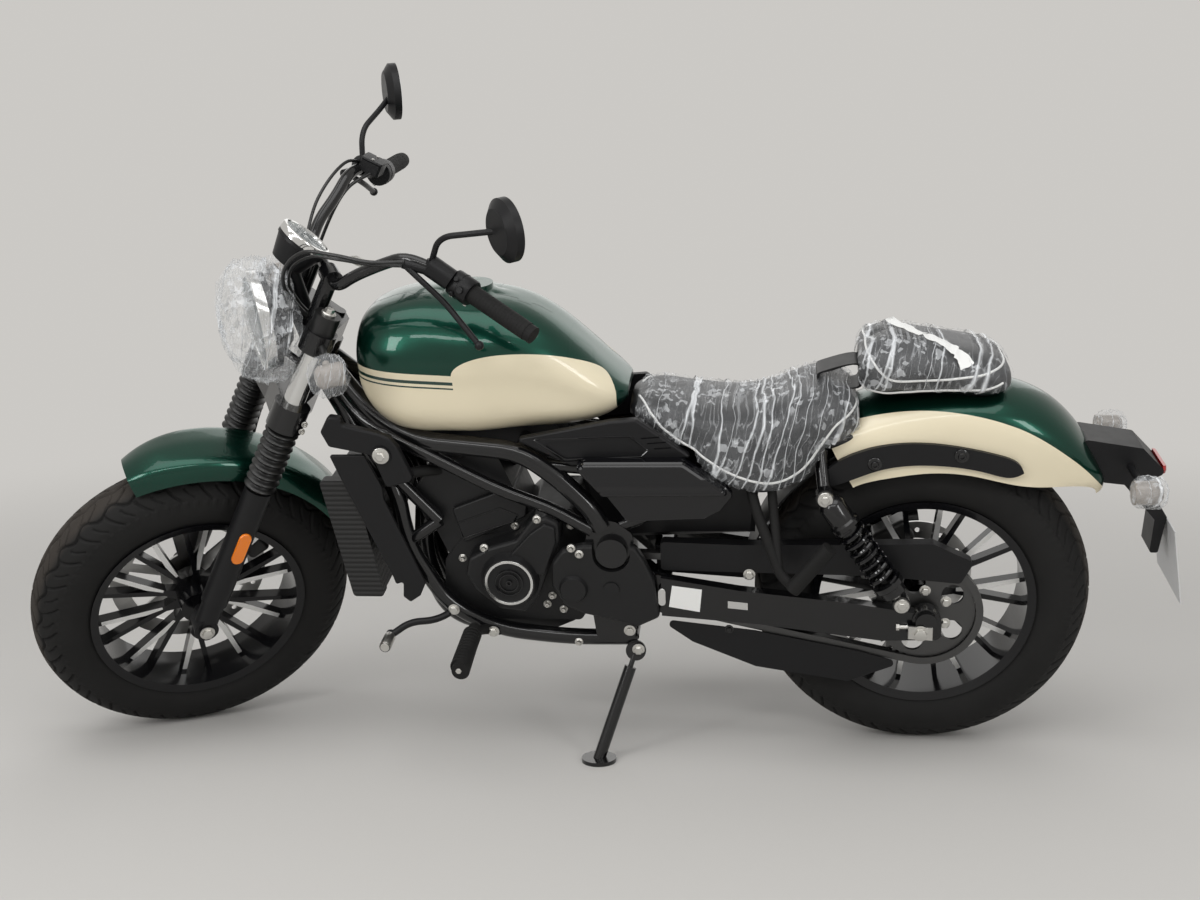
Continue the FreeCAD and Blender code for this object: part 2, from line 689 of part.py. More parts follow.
def stand_bracket():
    pivot, axis = stand_pivot(), stand_axis()
    start = pivot - axis * (PLATE + STAND_KNUCKLE / 2 + RUNNING_CLEARANCE)
    return Part.makeCylinder(STAND_EAR_RADIUS, PLATE, start, axis)


# Engine

ENGINE_AHEAD = 42.0
ENGINE_BELOW = 175.0
ENGINE_LENGTH = 300.0
ENGINE_HEIGHT = 240.0
ENGINE_HALF_WIDTH = 84.0
CYLINDER_AHEAD = 150.0
CYLINDER_BELOW = 20.0
CYLINDER_LENGTH = 170.0
CYLINDER_HEIGHT = 130.0
CYLINDER_LEAN_DEG = 22.0
CYLINDER_HALF_WIDTH = 82.0
HEAD_LENGTH = 190.0
HEAD_HEIGHT = 100.0
SUMP_LENGTH = 200.0
SUMP_HEIGHT = 60.0
CASTING_CORNER = 12.0
CASE_SHARES = ((0.0, 0.20), (0.10, 0.0), (0.80, 0.0), (1.0, 0.28), (0.98, 0.55), (0.86, 0.74), (0.55, 0.80),
               (0.38, 1.0), (0.12, 1.0), (0.0, 0.70))
HEAD_SHARES = ((0.0, 0.0), (1.0, 0.0), (1.0, 0.7), (0.75, 1.0), (0.2, 1.0), (0.0, 0.7))
SUMP_SHARES = ((0.0, 0.3), (0.2, 0.0), (0.8, 0.0), (1.0, 0.6), (1.0, 1.0), (0.0, 1.0))
HEAD_COVER_SHARES = ((0.99, 0.67), (0.38, 1.0), (0.0, 0.78), (0.03, 0.52), (0.86, 0.0), (0.94, 0.38))
HEAD_COVER_AHEAD = 164.0
HEAD_COVER_BELOW = 4.0
HEAD_COVER_LENGTH = 150.0
HEAD_COVER_HEIGHT = 109.0
HEAD_COVER_RISE = 12.0
SQUARE_SHARES = ((0.0, 0.0), (1.0, 0.0), (1.0, 1.0), (0.0, 1.0))


def engine():
    case = outline(CASE_SHARES, PIVOT + at(ENGINE_AHEAD, 0, -ENGINE_BELOW), ENGINE_LENGTH, ENGINE_HEIGHT)
    wide = CYLINDER_HALF_WIDTH
    cylinder = slab(outline(SQUARE_SHARES, MIDDLE, CYLINDER_LENGTH, CYLINDER_HEIGHT), -wide, wide,
                    CASTING_CORNER)
    corner = at(-(HEAD_LENGTH - CYLINDER_LENGTH) / 2, 0, CYLINDER_HEIGHT)
    head = slab(outline(HEAD_SHARES, corner, HEAD_LENGTH, HEAD_HEIGHT), -wide, wide, CASTING_CORNER)
    top = fuse([cylinder, head])
    top.rotate(MIDDLE, Y, CYLINDER_LEAN_DEG)
    top.translate(PIVOT + at(CYLINDER_AHEAD, 0, -CYLINDER_BELOW))
    sump = slab(outline(SUMP_SHARES, PIVOT + at(2 * ENGINE_AHEAD, 0, -ENGINE_BELOW - SUMP_HEIGHT / 2),
                        SUMP_LENGTH, SUMP_HEIGHT), -SUMP_HEIGHT, SUMP_HEIGHT, CASTING_CORNER)
    cover = domed(outline(HEAD_COVER_SHARES, PIVOT + at(HEAD_COVER_AHEAD, 0, -HEAD_COVER_BELOW),
                          HEAD_COVER_LENGTH, HEAD_COVER_HEIGHT),
                  wide - HEAD_COVER_RISE, wide + HEAD_COVER_RISE, CASTING_CORNER / 2)
    return fuse([slab(case, -ENGINE_HALF_WIDTH, ENGINE_HALF_WIDTH, CASTING_CORNER), top, sump, cover])


STATOR_SHARES = ((0.13, 1.0), (0.0, 0.94), (0.0, 0.74), (0.15, 0.41), (0.25, 0.17), (0.40, 0.0), (0.67, 0.03),
                 (0.91, 0.23), (1.0, 0.40), (0.96, 0.57), (0.74, 0.68), (0.46, 0.76), (0.28, 0.97))
STATOR_AHEAD = 99.0
STATOR_BELOW = 134.0
STATOR_LENGTH = 188.0
STATOR_HEIGHT = 204.0
STATOR_OUTER = 134.0
STATOR_RIDGE_SHARES = ((0.15, 0.94), (0.04, 0.90), (0.04, 0.74), (0.17, 0.42), (0.36, 0.40), (0.52, 0.62),
                       (0.30, 0.84))
HUB_AHEAD = 200.0
HUB_BELOW = 61.0
HUB_BASE_RADIUS = 62.0
HUB_TOP_RADIUS = 50.0
HUB_END = 152.0
HUB_DISH_RADIUS = 42.0
HUB_DISH = 3.0


def stator_cover():
    corner = PIVOT + at(STATOR_AHEAD, 0, -STATOR_BELOW)
    cover = domed(outline(STATOR_SHARES, corner, STATOR_LENGTH, STATOR_HEIGHT), ENGINE_HALF_WIDTH + SEAT_GAP,
                  STATOR_OUTER, CASTING_CORNER)
    ridge = domed(outline(STATOR_RIDGE_SHARES, corner, STATOR_LENGTH, STATOR_HEIGHT),
                  STATOR_OUTER - CASTING_CORNER, STATOR_OUTER + CASTING_CORNER / 2, CASTING_CORNER / 2)
    hub = PIVOT + at(HUB_AHEAD, STATOR_OUTER - CASTING_CORNER, -HUB_BELOW)
    end = at(hub.x, HUB_END, hub.z)
    ring = taper(hub, end, HUB_BASE_RADIUS, HUB_TOP_RADIUS)
    return fuse([cover, ridge, ring]).cut(rod(end - Y * HUB_DISH, end + Y * OVERRUN, HUB_DISH_RADIUS))


SPROCKET_COVER_SHARES = ((0.99, 0.78), (0.89, 0.94), (0.69, 1.0), (0.31, 0.99), (0.21, 0.98), (0.13, 0.82),
                         (0.05, 0.59), (0.02, 0.26), (0.0, 0.13), (0.22, 0.0), (0.42, 0.08), (0.71, 0.16),
                         (0.89, 0.26), (1.0, 0.51))
SPROCKET_COVER_BEHIND = 90.0
SPROCKET_COVER_BELOW = 156.0
SPROCKET_COVER_LENGTH = 207.0
SPROCKET_COVER_HEIGHT = 175.0
SPROCKET_COVER_DEPTH = 18.0
COVER_NOTCH = 36.0
BOSS_AHEAD = 75.0
BOSS_BELOW = 72.0
BOSS_RADIUS = 28.0
BOSS_HEIGHT = 8.0
SMALL_BOSS_RADIUS = 15.0
BOSS_SPACE = 73.0


def sprocket_cover():
    inner = PIVOT_PLATE_INNER + PLATE + SEAT_GAP
    outer = inner + SPROCKET_COVER_DEPTH
    cover = domed(outline(SPROCKET_COVER_SHARES, PIVOT + at(-SPROCKET_COVER_BEHIND, 0, -SPROCKET_COVER_BELOW),
                          SPROCKET_COVER_LENGTH, SPROCKET_COVER_HEIGHT), inner, outer, CASTING_CORNER)
    notch = fuse([rod(PIVOT + Y * (inner - OVERRUN), PIVOT + Y * (inner + 2 * OVERRUN), COVER_NOTCH),
                  block(PIVOT + at(-COVER_NOTCH, inner - OVERRUN, 0),
                        PIVOT + at(COVER_NOTCH, inner + 2 * OVERRUN, 3 * COVER_NOTCH))])
    boss = PIVOT + at(BOSS_AHEAD, outer - BOSS_HEIGHT, -BOSS_BELOW)
    collar = taper(boss, boss + Y * (2 * BOSS_HEIGHT), BOSS_RADIUS + BOSS_HEIGHT / 2,
                   BOSS_RADIUS - BOSS_HEIGHT / 2)
    small = boss - X * BOSS_SPACE
    return fuse([cover.cut(notch), collar, rod(small, small + Y * (1.4 * BOSS_HEIGHT), SMALL_BOSS_RADIUS)])


CLUTCH_RADIUS = 88.0
CLUTCH_DEPTH = 44.0
CLUTCH_FACE_RADIUS = 70.0
CLUTCH_FACE = 10.0
CLUTCH_AHEAD = 150.0
CLUTCH_BELOW = 55.0
PUMP_AHEAD = 98.0
PUMP_BELOW = 23.0
PUMP_RADIUS = 46.0


def clutch_cover():
    centre = PIVOT + at(CLUTCH_AHEAD, -ENGINE_HALF_WIDTH, -CLUTCH_BELOW)
    face = centre - Y * CLUTCH_DEPTH
    pump = centre + at(PUMP_AHEAD, 0, -PUMP_BELOW)
    return fuse([rod(centre, face, CLUTCH_RADIUS),
                 rod(pump, pump - Y * (CLUTCH_DEPTH - CLUTCH_FACE / 2), PUMP_RADIUS),
                 taper(face, face - Y * CLUTCH_FACE, CLUTCH_FACE_RADIUS, CLUTCH_FACE_RADIUS - CLUTCH_FACE)])


# Intake, radiator, exhaust

RADIATOR_AHEAD = 452.0
RADIATOR_BELOW = 90.0
RADIATOR_LENGTH = 92.0
RADIATOR_HEIGHT = 230.0
RADIATOR_HALF_WIDTH = 118.0
RADIATOR_TANK = 24.0
RADIATOR_TANK_INSET = 2.0
RADIATOR_TANK_DROP = 8.0
RADIATOR_CORE_SHARES = ((0.0, 0.0), (0.55, 0.0), (1.0, 1.0), (0.45, 1.0))
RADIATOR_TANK_SHARES = ((-0.02, 0.0), (0.66, 0.0), (1.13, 1.0), (0.40, 1.0))
FAN_RADIUS = 82.0
FAN_SHARES = ((-0.13, 0.48), (0.11, 0.52))


def radiator():
    corner = PIVOT + at(RADIATOR_AHEAD, 0, -RADIATOR_BELOW)
    wide = RADIATOR_HALF_WIDTH
    core = slab(outline(RADIATOR_CORE_SHARES, corner, RADIATOR_LENGTH, RADIATOR_HEIGHT), -wide, wide,
                RADIATOR_TANK_INSET)
    points = outline(RADIATOR_TANK_SHARES, corner - Z * RADIATOR_TANK_DROP, RADIATOR_LENGTH,
                     RADIATOR_HEIGHT + 2 * RADIATOR_TANK_DROP)
    start = wide - RADIATOR_TANK_INSET
    tanks = both(slab(points, start, start + RADIATOR_TANK, RADIATOR_TANK_DROP))
    near, far = outline(FAN_SHARES, corner, RADIATOR_LENGTH, RADIATOR_HEIGHT)
    return fuse([core, rod(near, far, FAN_RADIUS)] + tanks)


SHROUD_AHEAD = 365.0
SHROUD_BELOW = 107.0
SHROUD_LENGTH = 172.0
SHROUD_HEIGHT = 392.0
SHROUD_GAP = 0.4
GUARD_THICK = 6.0
HORN_THICK = 16.0
HORN_BOSS_RADIUS = 19.0
SHROUD_CORNER = 8.0
HORN_SHARES = ((1.0, 0.917), (0.895, 1.0), (0.755, 0.99), (0.75, 0.955), (0.355, 0.91), (0.238, 0.888),
               (0.157, 0.838), (0.02, 0.684), (0.038, 0.663), (0.325, 0.627), (0.448, 0.79), (0.50, 0.803),
               (0.924, 0.842))
SIDE_GUARD_SHARES = ((0.948, 0.79), (0.552, 0.79), (0.384, 0.62), (0.384, 0.56), (0.0, 0.107), (0.076, 0.036),
                     (0.198, 0.0), (0.273, 0.03), (0.256, 0.112), (0.343, 0.097), (0.378, 0.15), (0.79, 0.60))


def radiator_shroud():
    corner = PIVOT + at(SHROUD_AHEAD, 0, -SHROUD_BELOW)
    face = RADIATOR_HALF_WIDTH - RADIATOR_TANK_INSET + RADIATOR_TANK + SHROUD_GAP
    guard = domed(outline(SIDE_GUARD_SHARES, corner, SHROUD_LENGTH, SHROUD_HEIGHT), face, face + GUARD_THICK,
                  SHROUD_CORNER / 2)
    horn = domed(outline(HORN_SHARES, corner, SHROUD_LENGTH, SHROUD_HEIGHT), face, face + HORN_THICK,
                 SHROUD_CORNER)
    boss = spot(corner, at(SHROUD_LENGTH, 0, SHROUD_HEIGHT), 0.345, 0.0, 0.80) + Y * face
    return both(fuse([guard, horn, rod(boss, boss + Y * (HORN_THICK + GUARD_WALL), HORN_BOSS_RADIUS)]))


MUFFLER_RADIUS = 47.0
MUFFLER_WALL = 4.0
MUFFLER_SIDE = 240.0
MUFFLER_START = 40.0
MUFFLER_END = 610.0
MUFFLER_LOW = 176.0
MUFFLER_HIGH = 92.0
HEADER_RADIUS = 19.0
HEADER_SIDE = 38.0
COLLECTOR_RADIUS = 27.0
HANGER_RADIUS = 9.0
HEADER_SHARES = ((0.555, 0.0, 0.282), (0.662, 0.0, 0.22), (0.69, 0.0, -0.169), (0.60, -0.138, -0.605),
                 (0.352, -0.70, -0.712))
COLLECTOR_SHARES = ((0.391, -0.738, -0.712), (0.229, -1.0, -0.723), (0.088, -1.577, -0.621),
                    (-0.106, -1.846, -0.48))
HANGER_SHARES = ((-0.053, -0.985, -0.424), (-0.106, -1.308, -0.438), (-0.194, -1.692, -0.395))


def exhaust():
    pipes = []
    for side in (-HEADER_SIDE, HEADER_SIDE):
        points = chassis(HEADER_SHARES)
        points = [p + Y * side for p in points[:-1]] + [points[-1] + Y * (side / 2)]
        pipes.append(bent_tube(points, HEADER_RADIUS))
    collector = bent_tube(chassis(COLLECTOR_SHARES), COLLECTOR_RADIUS)
    start = PIVOT + at(-MUFFLER_START, -MUFFLER_SIDE, -MUFFLER_LOW)
    end = PIVOT + at(-MUFFLER_END, -MUFFLER_SIDE, -MUFFLER_HIGH)
    run = end - start
    can = fuse([rod(start, end, MUFFLER_RADIUS),
                taper(start - run * 0.08, start, HEADER_RADIUS * 1.5, MUFFLER_RADIUS)])
    box = MUFFLER_RADIUS * 3
    slash = block(at(-box, -box, -box), at(0, box, box))
    slash.rotate(MIDDLE, Y, -35)
    slash.translate(end + X * (MUFFLER_WALL * 2))
    bore = rod(start + run * 0.02, end + run * 0.1, MUFFLER_RADIUS - MUFFLER_WALL)
    hanger = bent_tube(chassis(HANGER_SHARES), HANGER_RADIUS)
    return fuse(pipes + [collector, can.cut([slash, bore]), hanger])


AIRBOX_BEHIND = 233.0
AIRBOX_ABOVE = 70.0
AIRBOX_LENGTH = 294.0
AIRBOX_HEIGHT = 125.0
AIRBOX_INNER = 140.3
AIRBOX_OUTER = 156.0
AIRBOX_CROWN = 171.0
AIRBOX_CORNER = 14.0
AIRBOX_SHARES = ((1.0, 0.90), (0.94, 1.0), (0.31, 1.0), (0.05, 0.58), (0.0, 0.44), (0.085, 0.18),
                 (0.19, 0.05), (0.68, 0.0), (0.80, 0.40))
AIRBOX_CROWN_SHARES = ((0.99, 0.89), (0.94, 1.0), (0.31, 1.0), (0.06, 0.57), (0.03, 0.46), (0.83, 0.44))


def airbox_covers():
    corner = PIVOT + at(-AIRBOX_BEHIND, 0, AIRBOX_ABOVE)
    low = domed(outline(AIRBOX_SHARES, corner, AIRBOX_LENGTH, AIRBOX_HEIGHT), AIRBOX_INNER, AIRBOX_OUTER,
                AIRBOX_CORNER / 2)
    crown = outline(AIRBOX_CROWN_SHARES, corner, AIRBOX_LENGTH, AIRBOX_HEIGHT)
    high = domed(crown, AIRBOX_INNER, AIRBOX_CROWN, AIRBOX_CORNER)
    return both(fuse([low, high]))


PANEL_BEHIND = 150.0
PANEL_ABOVE = 177.0
PANEL_LENGTH = 325.0
PANEL_HEIGHT = 92.0
PANEL_INNER = 124.0
PANEL_OUTER = 140.0
PANEL_CORNER = 8.0
RECESS = 3.0
PANEL_SHARES = ((1.0, 0.58), (0.44, 0.96), (0.29, 1.0), (0.0, 0.25), (-0.01, 0.17), (0.67, 0.0), (0.91, 0.43))
RECESS_SHARES = ((0.85, 0.51), (0.31, 0.64), (0.23, 0.26), (0.71, 0.09))
SLOT_SHARES = ((0.265, 0.60, 0.16, 0.63), (0.23, 0.49, 0.123, 0.52), (0.193, 0.38, 0.095, 0.40))
SLOT_HALF = 1.3


def side_panels():
    corner = PIVOT + at(-PANEL_BEHIND, 0, PANEL_ABOVE)
    panel = domed(outline(PANEL_SHARES, corner, PANEL_LENGTH, PANEL_HEIGHT), PANEL_INNER, PANEL_OUTER,
                  PANEL_CORNER)
    pocket = slab(outline(RECESS_SHARES, corner, PANEL_LENGTH, PANEL_HEIGHT), PANEL_OUTER - RECESS,
                  PANEL_OUTER + OVERRUN, PANEL_CORNER)
    cuts = [pocket]
    for x, z, end_x, end_z in SLOT_SHARES:
        a, b = outline(((x, z), (end_x, end_z)), corner, PANEL_LENGTH, PANEL_HEIGHT)
        cuts.append(slab([a - Z * SLOT_HALF, b - Z * SLOT_HALF, b + Z * SLOT_HALF, a + Z * SLOT_HALF],
                         PANEL_OUTER - RECESS, PANEL_OUTER + OVERRUN))
    return both(panel.cut(cuts))


# Tank and seats

TANK_SECTION_SHARES = (
    # along, half width, base, top
    (0.00, 0.40, 0.24, 0.33), (0.05, 0.62, 0.15, 0.42), (0.17, 0.76, 0.06, 0.64), (0.37, 0.90, 0.03, 0.91),
    (0.58, 1.0, 0.0, 0.985), (0.76, 0.97, 0.0, 1.0), (0.90, 0.87, 0.07, 0.945), (0.98, 0.66, 0.24, 0.84),
    (1.0, 0.48, 0.36, 0.70))


def tank_rear():
    return HEAD.x - TANK_BEHIND_HEAD - TANK_LENGTH


def tank_loft(wall, points, ruled):
    wires = []
    for along, width, low, top in TANK_SECTION_SHARES:
        x = tank_rear() + along * (TANK_LENGTH - 2 * wall) + wall
        wires.append(oval(x, width * TANK_WIDTH / 2 - wall, TANK_BASE + low * TANK_HEIGHT + wall,
                          TANK_BASE + top * TANK_HEIGHT - wall, 0.72, points))
    return loft(wires, ruled)


def fuel_tank():
    skin = tank_loft(0.0, 12, False)
    cap_top = TANK_BASE + TANK_HEIGHT + TANK_CAP_RISE
    cap = Part.makeCylinder(TANK_CAP_RADIUS, TANK_CAP_DEPTH,
                            at(tank_rear() + TANK_CAP_SHARE * TANK_LENGTH, 0, cap_top - TANK_CAP_DEPTH), Z)
    inside = tank_loft(TANK_WALL, 10, True)

    def tunnel(wall):
        return block(at(tank_rear() - OVERRUN, -TANK_TUNNEL - wall, PIVOT.z + TUNNEL_LOW),
                     at(tank_rear() + TANK_LENGTH + OVERRUN, TANK_TUNNEL + wall, PIVOT.z + TUNNEL_TOP + wall))
    return fuse([skin, cap]).cut([tunnel(0.0), inside.cut(tunnel(TANK_WALL))])


SEAT_SECTION_SHARES = (
    # along, half width, skirt low, top
    (0.0, 0.62, 0.48, 0.66), (0.10, 0.86, 0.36, 0.82), (0.26, 0.98, 0.10, 0.78), (0.42, 1.0, 0.0, 0.66),
    (0.60, 0.96, 0.08, 0.64), (0.78, 0.82, 0.28, 0.70), (0.92, 0.66, 0.50, 0.75), (1.0, 0.42, 0.56, 0.70))


def rider_seat():
    start = tank_rear() - SEAT_GAP - SEAT_LENGTH
    wires = [oval(start + s * SEAT_LENGTH, w * SEAT_WIDTH / 2, SEAT_BASE + low * SEAT_HEIGHT,
                  SEAT_BASE + top * SEAT_HEIGHT, 0.7) for s, w, low, top in SEAT_SECTION_SHARES]
    pan = block(at(start - OVERRUN, -SEAT_WIDTH / 2 + SKIRT, SEAT_BASE - OVERRUN),
                at(start + SEAT_LENGTH + OVERRUN, SEAT_WIDTH / 2 - SKIRT,
                   SEAT_BASE + PAN_SHARE * SEAT_HEIGHT))
    return loft(wires).cut(pan)


PILLION_SECTION_SHARES = (
    (0.0, 0.60, 0.10, 0.38), (0.08, 0.86, 0.0, 0.58), (0.35, 1.0, 0.0, 0.76), (0.70, 1.0, 0.0, 0.92),
    (0.94, 0.90, 0.04, 0.90), (1.0, 0.74, 0.16, 0.76))


def pillion_seat():
    start = tank_rear() - SEAT_GAP - SEAT_LENGTH - PILLION_LENGTH
    wires = [oval(start + s * PILLION_LENGTH, w * PILLION_WIDTH / 2, PILLION_BASE + low * PILLION_HEIGHT,
                  PILLION_BASE + top * PILLION_HEIGHT, 0.7) for s, w, low, top in PILLION_SECTION_SHARES]
    return loft(wires)


# Fenders and tail

FENDER_SECTION_SHARES = (
    # angle, low radius, top radius, half width
    (62.0, 1.0, 0.90, 0.96), (75.0, 0.985, 0.92, 1.0), (90.0, 0.985, 0.945, 1.0), (105.0, 1.0, 0.985, 1.0),
    (118.0, 1.03, 0.998, 0.98), (128.0, 1.11, 0.97, 0.90), (137.0, 1.26, 0.925, 0.76),
    (143.5, 1.30, 0.88, 0.52))


def rear_arch(wall=0.0, lip=0.0):
    wires = [arch_section(REAR_AXLE, angle, low * FENDER_LOW_RADIUS, top * FENDER_TOP_RADIUS - wall,
                          width * FENDER_HALF_WIDTH - wall, lip)
             for angle, low, top, width in FENDER_SECTION_SHARES]
    return loft(wires)


def rear_fender():
    return rear_arch().cut(rear_arch(FENDER_WALL, OVERRUN))


FRONT_FENDER_SHARES = ((50.0, 0.62), (68.0, 0.96), (92.0, 1.0), (118.0, 1.0), (135.0, 0.92), (147.0, 0.70))


def front_fender():
    def arch(wall, lip):
        wires = []
        for angle, width in FRONT_FENDER_SHARES:
            top = FRONT_FENDER_RADIUS - (1 - width) * FRONT_FENDER_FALL
            wires.append(arch_section(FORK_AXLE, angle, top - FRONT_FENDER_DEPTH, top - wall,
                                      width * FRONT_FENDER_HALF_WIDTH - wall, lip))
        return loft(wires)
    return arch(0, 0).cut(arch(FENDER_WALL, OVERRUN))


RAIL_RISE = 9.0
RAIL_OUTER = FENDER_HALF_WIDTH + RAIL_RISE
RAIL_INSET = 2.0
RAIL_BEHIND = 760.0
RAIL_ABOVE = 129.0
RAIL_LENGTH = 368.0
RAIL_HEIGHT = 82.0
RAIL_TOP_SHARES = ((1.0, 0.06), (0.96, 0.40), (0.853, 0.72), (0.61, 1.0), (0.367, 0.95), (0.122, 0.71),
                   (0.02, 0.48), (0.0, 0.30))
RAIL_LOW_SHARES = ((0.0, 0.30), (0.05, 0.20), (0.166, 0.29), (0.41, 0.48), (0.70, 0.38), (0.89, 0.06),
                   (0.94, 0.0), (1.0, 0.06))
RACK_HOLE = 4.0
RACK_DEPTH = 8.0
RACK_FRONT_BEHIND = 491.0
RACK_FRONT_ABOVE = 173.0
RACK_REAR_BEHIND = 647.0
RACK_REAR_ABOVE = 187.0
RACK_RIGHT_AHEAD = 14.0


def fender_rails():
    corner = PIVOT + at(-RAIL_BEHIND, 0, RAIL_ABOVE)
    edges = []
    for shares in (RAIL_TOP_SHARES, RAIL_LOW_SHARES):
        curve = Part.BSplineCurve()
        curve.interpolate([p + Y * (FENDER_HALF_WIDTH - RAIL_INSET)
                           for p in outline(shares, corner, RAIL_LENGTH, RAIL_HEIGHT)])
        edges.append(curve.toShape())
    rails = both(Part.Face(Part.Wire(edges)).extrude(Y * (RAIL_INSET + RAIL_RISE)))
    holes = [rod(p - d * RACK_DEPTH, p + d * OVERRUN, r) for p, d, r, _ in rack_holes().values()]
    return trimmed(rails, holes)


def rack_holes():
    """Four threaded holes for a luggage rack: outer end, outward direction, radius and depth."""
    holes = {}
    for end, x, z in (("front", RACK_FRONT_BEHIND, RACK_FRONT_ABOVE),
                      ("rear", RACK_REAR_BEHIND, RACK_REAR_ABOVE)):
        for side, sign, ahead in (("left", 1, 0), ("right", -1, RACK_RIGHT_AHEAD)):
            place = PIVOT + at(ahead - x, sign * RAIL_OUTER, z)
            holes[end + "_" + side + "_rack_hole"] = (place, Y * sign, RACK_HOLE, RACK_DEPTH)
    return holes


# Places at the tail, from the rear axle, as shares of the fender's top radius: ahead, up
TAIL = Vector(FENDER_TOP_RADIUS, FENDER_HALF_WIDTH, FENDER_TOP_RADIUS)
LAMP_SHARES = ((-0.606, 0.0, 0.723), (-0.848, 0.0, 0.682), (-0.948, 0.0, 0.576), (-0.833, 0.0, 0.519),
               (-0.649, 0.0, 0.541))
STALK_SHARES = ((-0.747, 0.0, 0.567), (-0.855, 0.0, 0.567), (-0.974, 0.0, 0.368), (-0.952, 0.0, 0.208),
                (-0.918, 0.0, 0.208), (-0.926, 0.0, 0.357))
TAIL_LAMP_HALF = 48.0
STALK_HALF = 34.0
LAMP_CORNER = 9.0
SIGNAL_RADIUS = 22.0
SIGNAL_BACK = 26.0
SIGNAL_FRONT = 16.0
SIGNAL_DOME = 8.0
SIGNAL_STALK = 7.0
SIGNAL_SIDE = 168.0


def tail(*shares):
    return spot(REAR_AXLE, TAIL, *shares)


def rear_signal_place():
    return tail(-0.814, 0.0, 0.602) + Y * SIGNAL_SIDE


def tail_lamp():
    lamp = slab([tail(*s) for s in LAMP_SHARES], -TAIL_LAMP_HALF, TAIL_LAMP_HALF, LAMP_CORNER)
    stalk = slab([tail(*s) for s in STALK_SHARES], -STALK_HALF, STALK_HALF, LAMP_CORNER / 2)
    end = rear_signal_place() + X * (SIGNAL_STALK / 2) - Y * (SIGNAL_RADIUS - RUNNING_CLEARANCE)
    return fuse([lamp, stalk, rod(at(end.x, -end.y, end.z), end, SIGNAL_STALK)])


PLATE_HALF_WIDTH = 90.0
PLATE_THICKNESS = 2.0


def number_plate():
    low, high = tail(-1.028, 0.0, 0.032), tail(-0.975, 0.0, 0.359)
    normal = at(low.z - high.z, 0, high.x - low.x)
    normal.normalize()
    side = Y * PLATE_HALF_WIDTH
    corners = [c + normal * SEAT_GAP for c in (high - side, high + side, low + side, low - side)]
    return Part.Face(Part.makePolygon(corners + corners[:1])).extrude(normal * PLATE_THICKNESS)


def signal(place, direction):
    """One turn signal: a round lamp that faces along the bike."""
    front = place + direction * SIGNAL_FRONT
    body = rod(place - direction * SIGNAL_BACK, front, SIGNAL_RADIUS)
    return fuse([body, taper(front, front + direction * SIGNAL_DOME, SIGNAL_RADIUS,
                             SIGNAL_RADIUS - SIGNAL_DOME)])


def rear_signals():
    return both(signal(rear_signal_place(), -X))


# Pegs and foot controls

PEG_LENGTH = 168.0
PEG_RADIUS = 17.0
PEG_ARM_RADIUS = 10.0
PEG_CORE_RADIUS = 12.0
PEG_SHARES = ((0.484, 1.154, -0.452), (0.477, 1.154, -0.452))
PEG_ARM_SHARES = ((0.41, 0.846, -0.525), (0.461, 0.985, -0.492), (0.484, 1.308, -0.452))
REAR_HANGER_SHARES = ((-0.454, 0.723, 0.418), (-0.479, 1.0, 0.254), (-0.56, 1.292, -0.088),
                      (-0.606, 1.354, -0.153))
REAR_BRACE_SHARES = ((-0.528, 0.723, 0.441), (-0.556, 1.277, -0.068))
REAR_PEG_SHARES = ((-0.599, 1.40, -0.158), (-0.72, 1.438, 0.093))
REAR_PEG_RADIUS = 15.0
REAR_BRACE_RADIUS = 9.0


def pegs():
    root, tip = chassis(PEG_SHARES)
    tip = tip + Y * PEG_LENGTH
    run = tip - root
    peg = fuse([rod(root, root + run * 0.3, PEG_CORE_RADIUS), rod(root + run * 0.28, tip, PEG_RADIUS)])
    rider = fuse([peg, bent_tube(chassis(PEG_ARM_SHARES), PEG_ARM_RADIUS)])
    brace, foot = chassis(REAR_BRACE_SHARES), chassis(REAR_PEG_SHARES)
    rear = fuse([bent_tube(chassis(REAR_HANGER_SHARES), PEG_ARM_RADIUS),
                 rod(brace[0], brace[1], REAR_BRACE_RADIUS), rod(foot[0], foot[1], REAR_PEG_RADIUS)])
    return both(rider) + both(rear)


LEVER_RADIUS = 7.0
TOE_RADIUS = 10.0
SHIFT_SHARES = ((0.556, 0.831, -0.395), (0.62, 1.062, -0.424), (0.711, 1.138, -0.424), (0.771, 1.292, -0.475))
TOE_SHARES = ((0.775, 1.231, -0.48), (0.775, 1.654, -0.48))
PEDAL_SHARES = ((0.461, -0.815, -0.48), (0.528, -1.154, -0.542), (0.669, -1.269, -0.554),
                (0.757, -1.462, -0.475))
PAD_SHARES = ((0.739, -1.808, -0.469), (0.796, -1.385, -0.441))


def foot_controls():
    toe, pad = chassis(TOE_SHARES), chassis(PAD_SHARES)
    shift = fuse([bent_tube(chassis(SHIFT_SHARES), LEVER_RADIUS), rod(toe[0], toe[1], TOE_RADIUS)])
    return [shift, fuse([bent_tube(chassis(PEDAL_SHARES), LEVER_RADIUS), block(pad[0], pad[1])])]


CALIPER_LENGTH = 76.0
CALIPER_WIDTH = 54.0
CALIPER_HEIGHT = 50.0
CALIPER_ARM_RADIUS = 9.0
FRONT_CALIPER_LENGTH = 92.0


def caliper(centre, disc_radius, side, angle, length):
    """A block that straddles the disc's rim, slotted for it with a running gap."""
    size = at(length, CALIPER_WIDTH, CALIPER_HEIGHT)
    place = polar(centre, disc_radius - size.z / 4, angle, side - DISC_THICKNESS / 2)
    body = block(size * -0.5, size * 0.5)
    body = body.makeFillet(size.x / 8, body.Edges)
    body.rotate(MIDDLE, Y, 90 - angle)
    body.translate(place)
    face = centre + Y * (side + CALIPER_GAP)
    return body.cut(rod(face, face - Y * (DISC_THICKNESS + 2 * CALIPER_GAP), disc_radius + CALIPER_GAP))


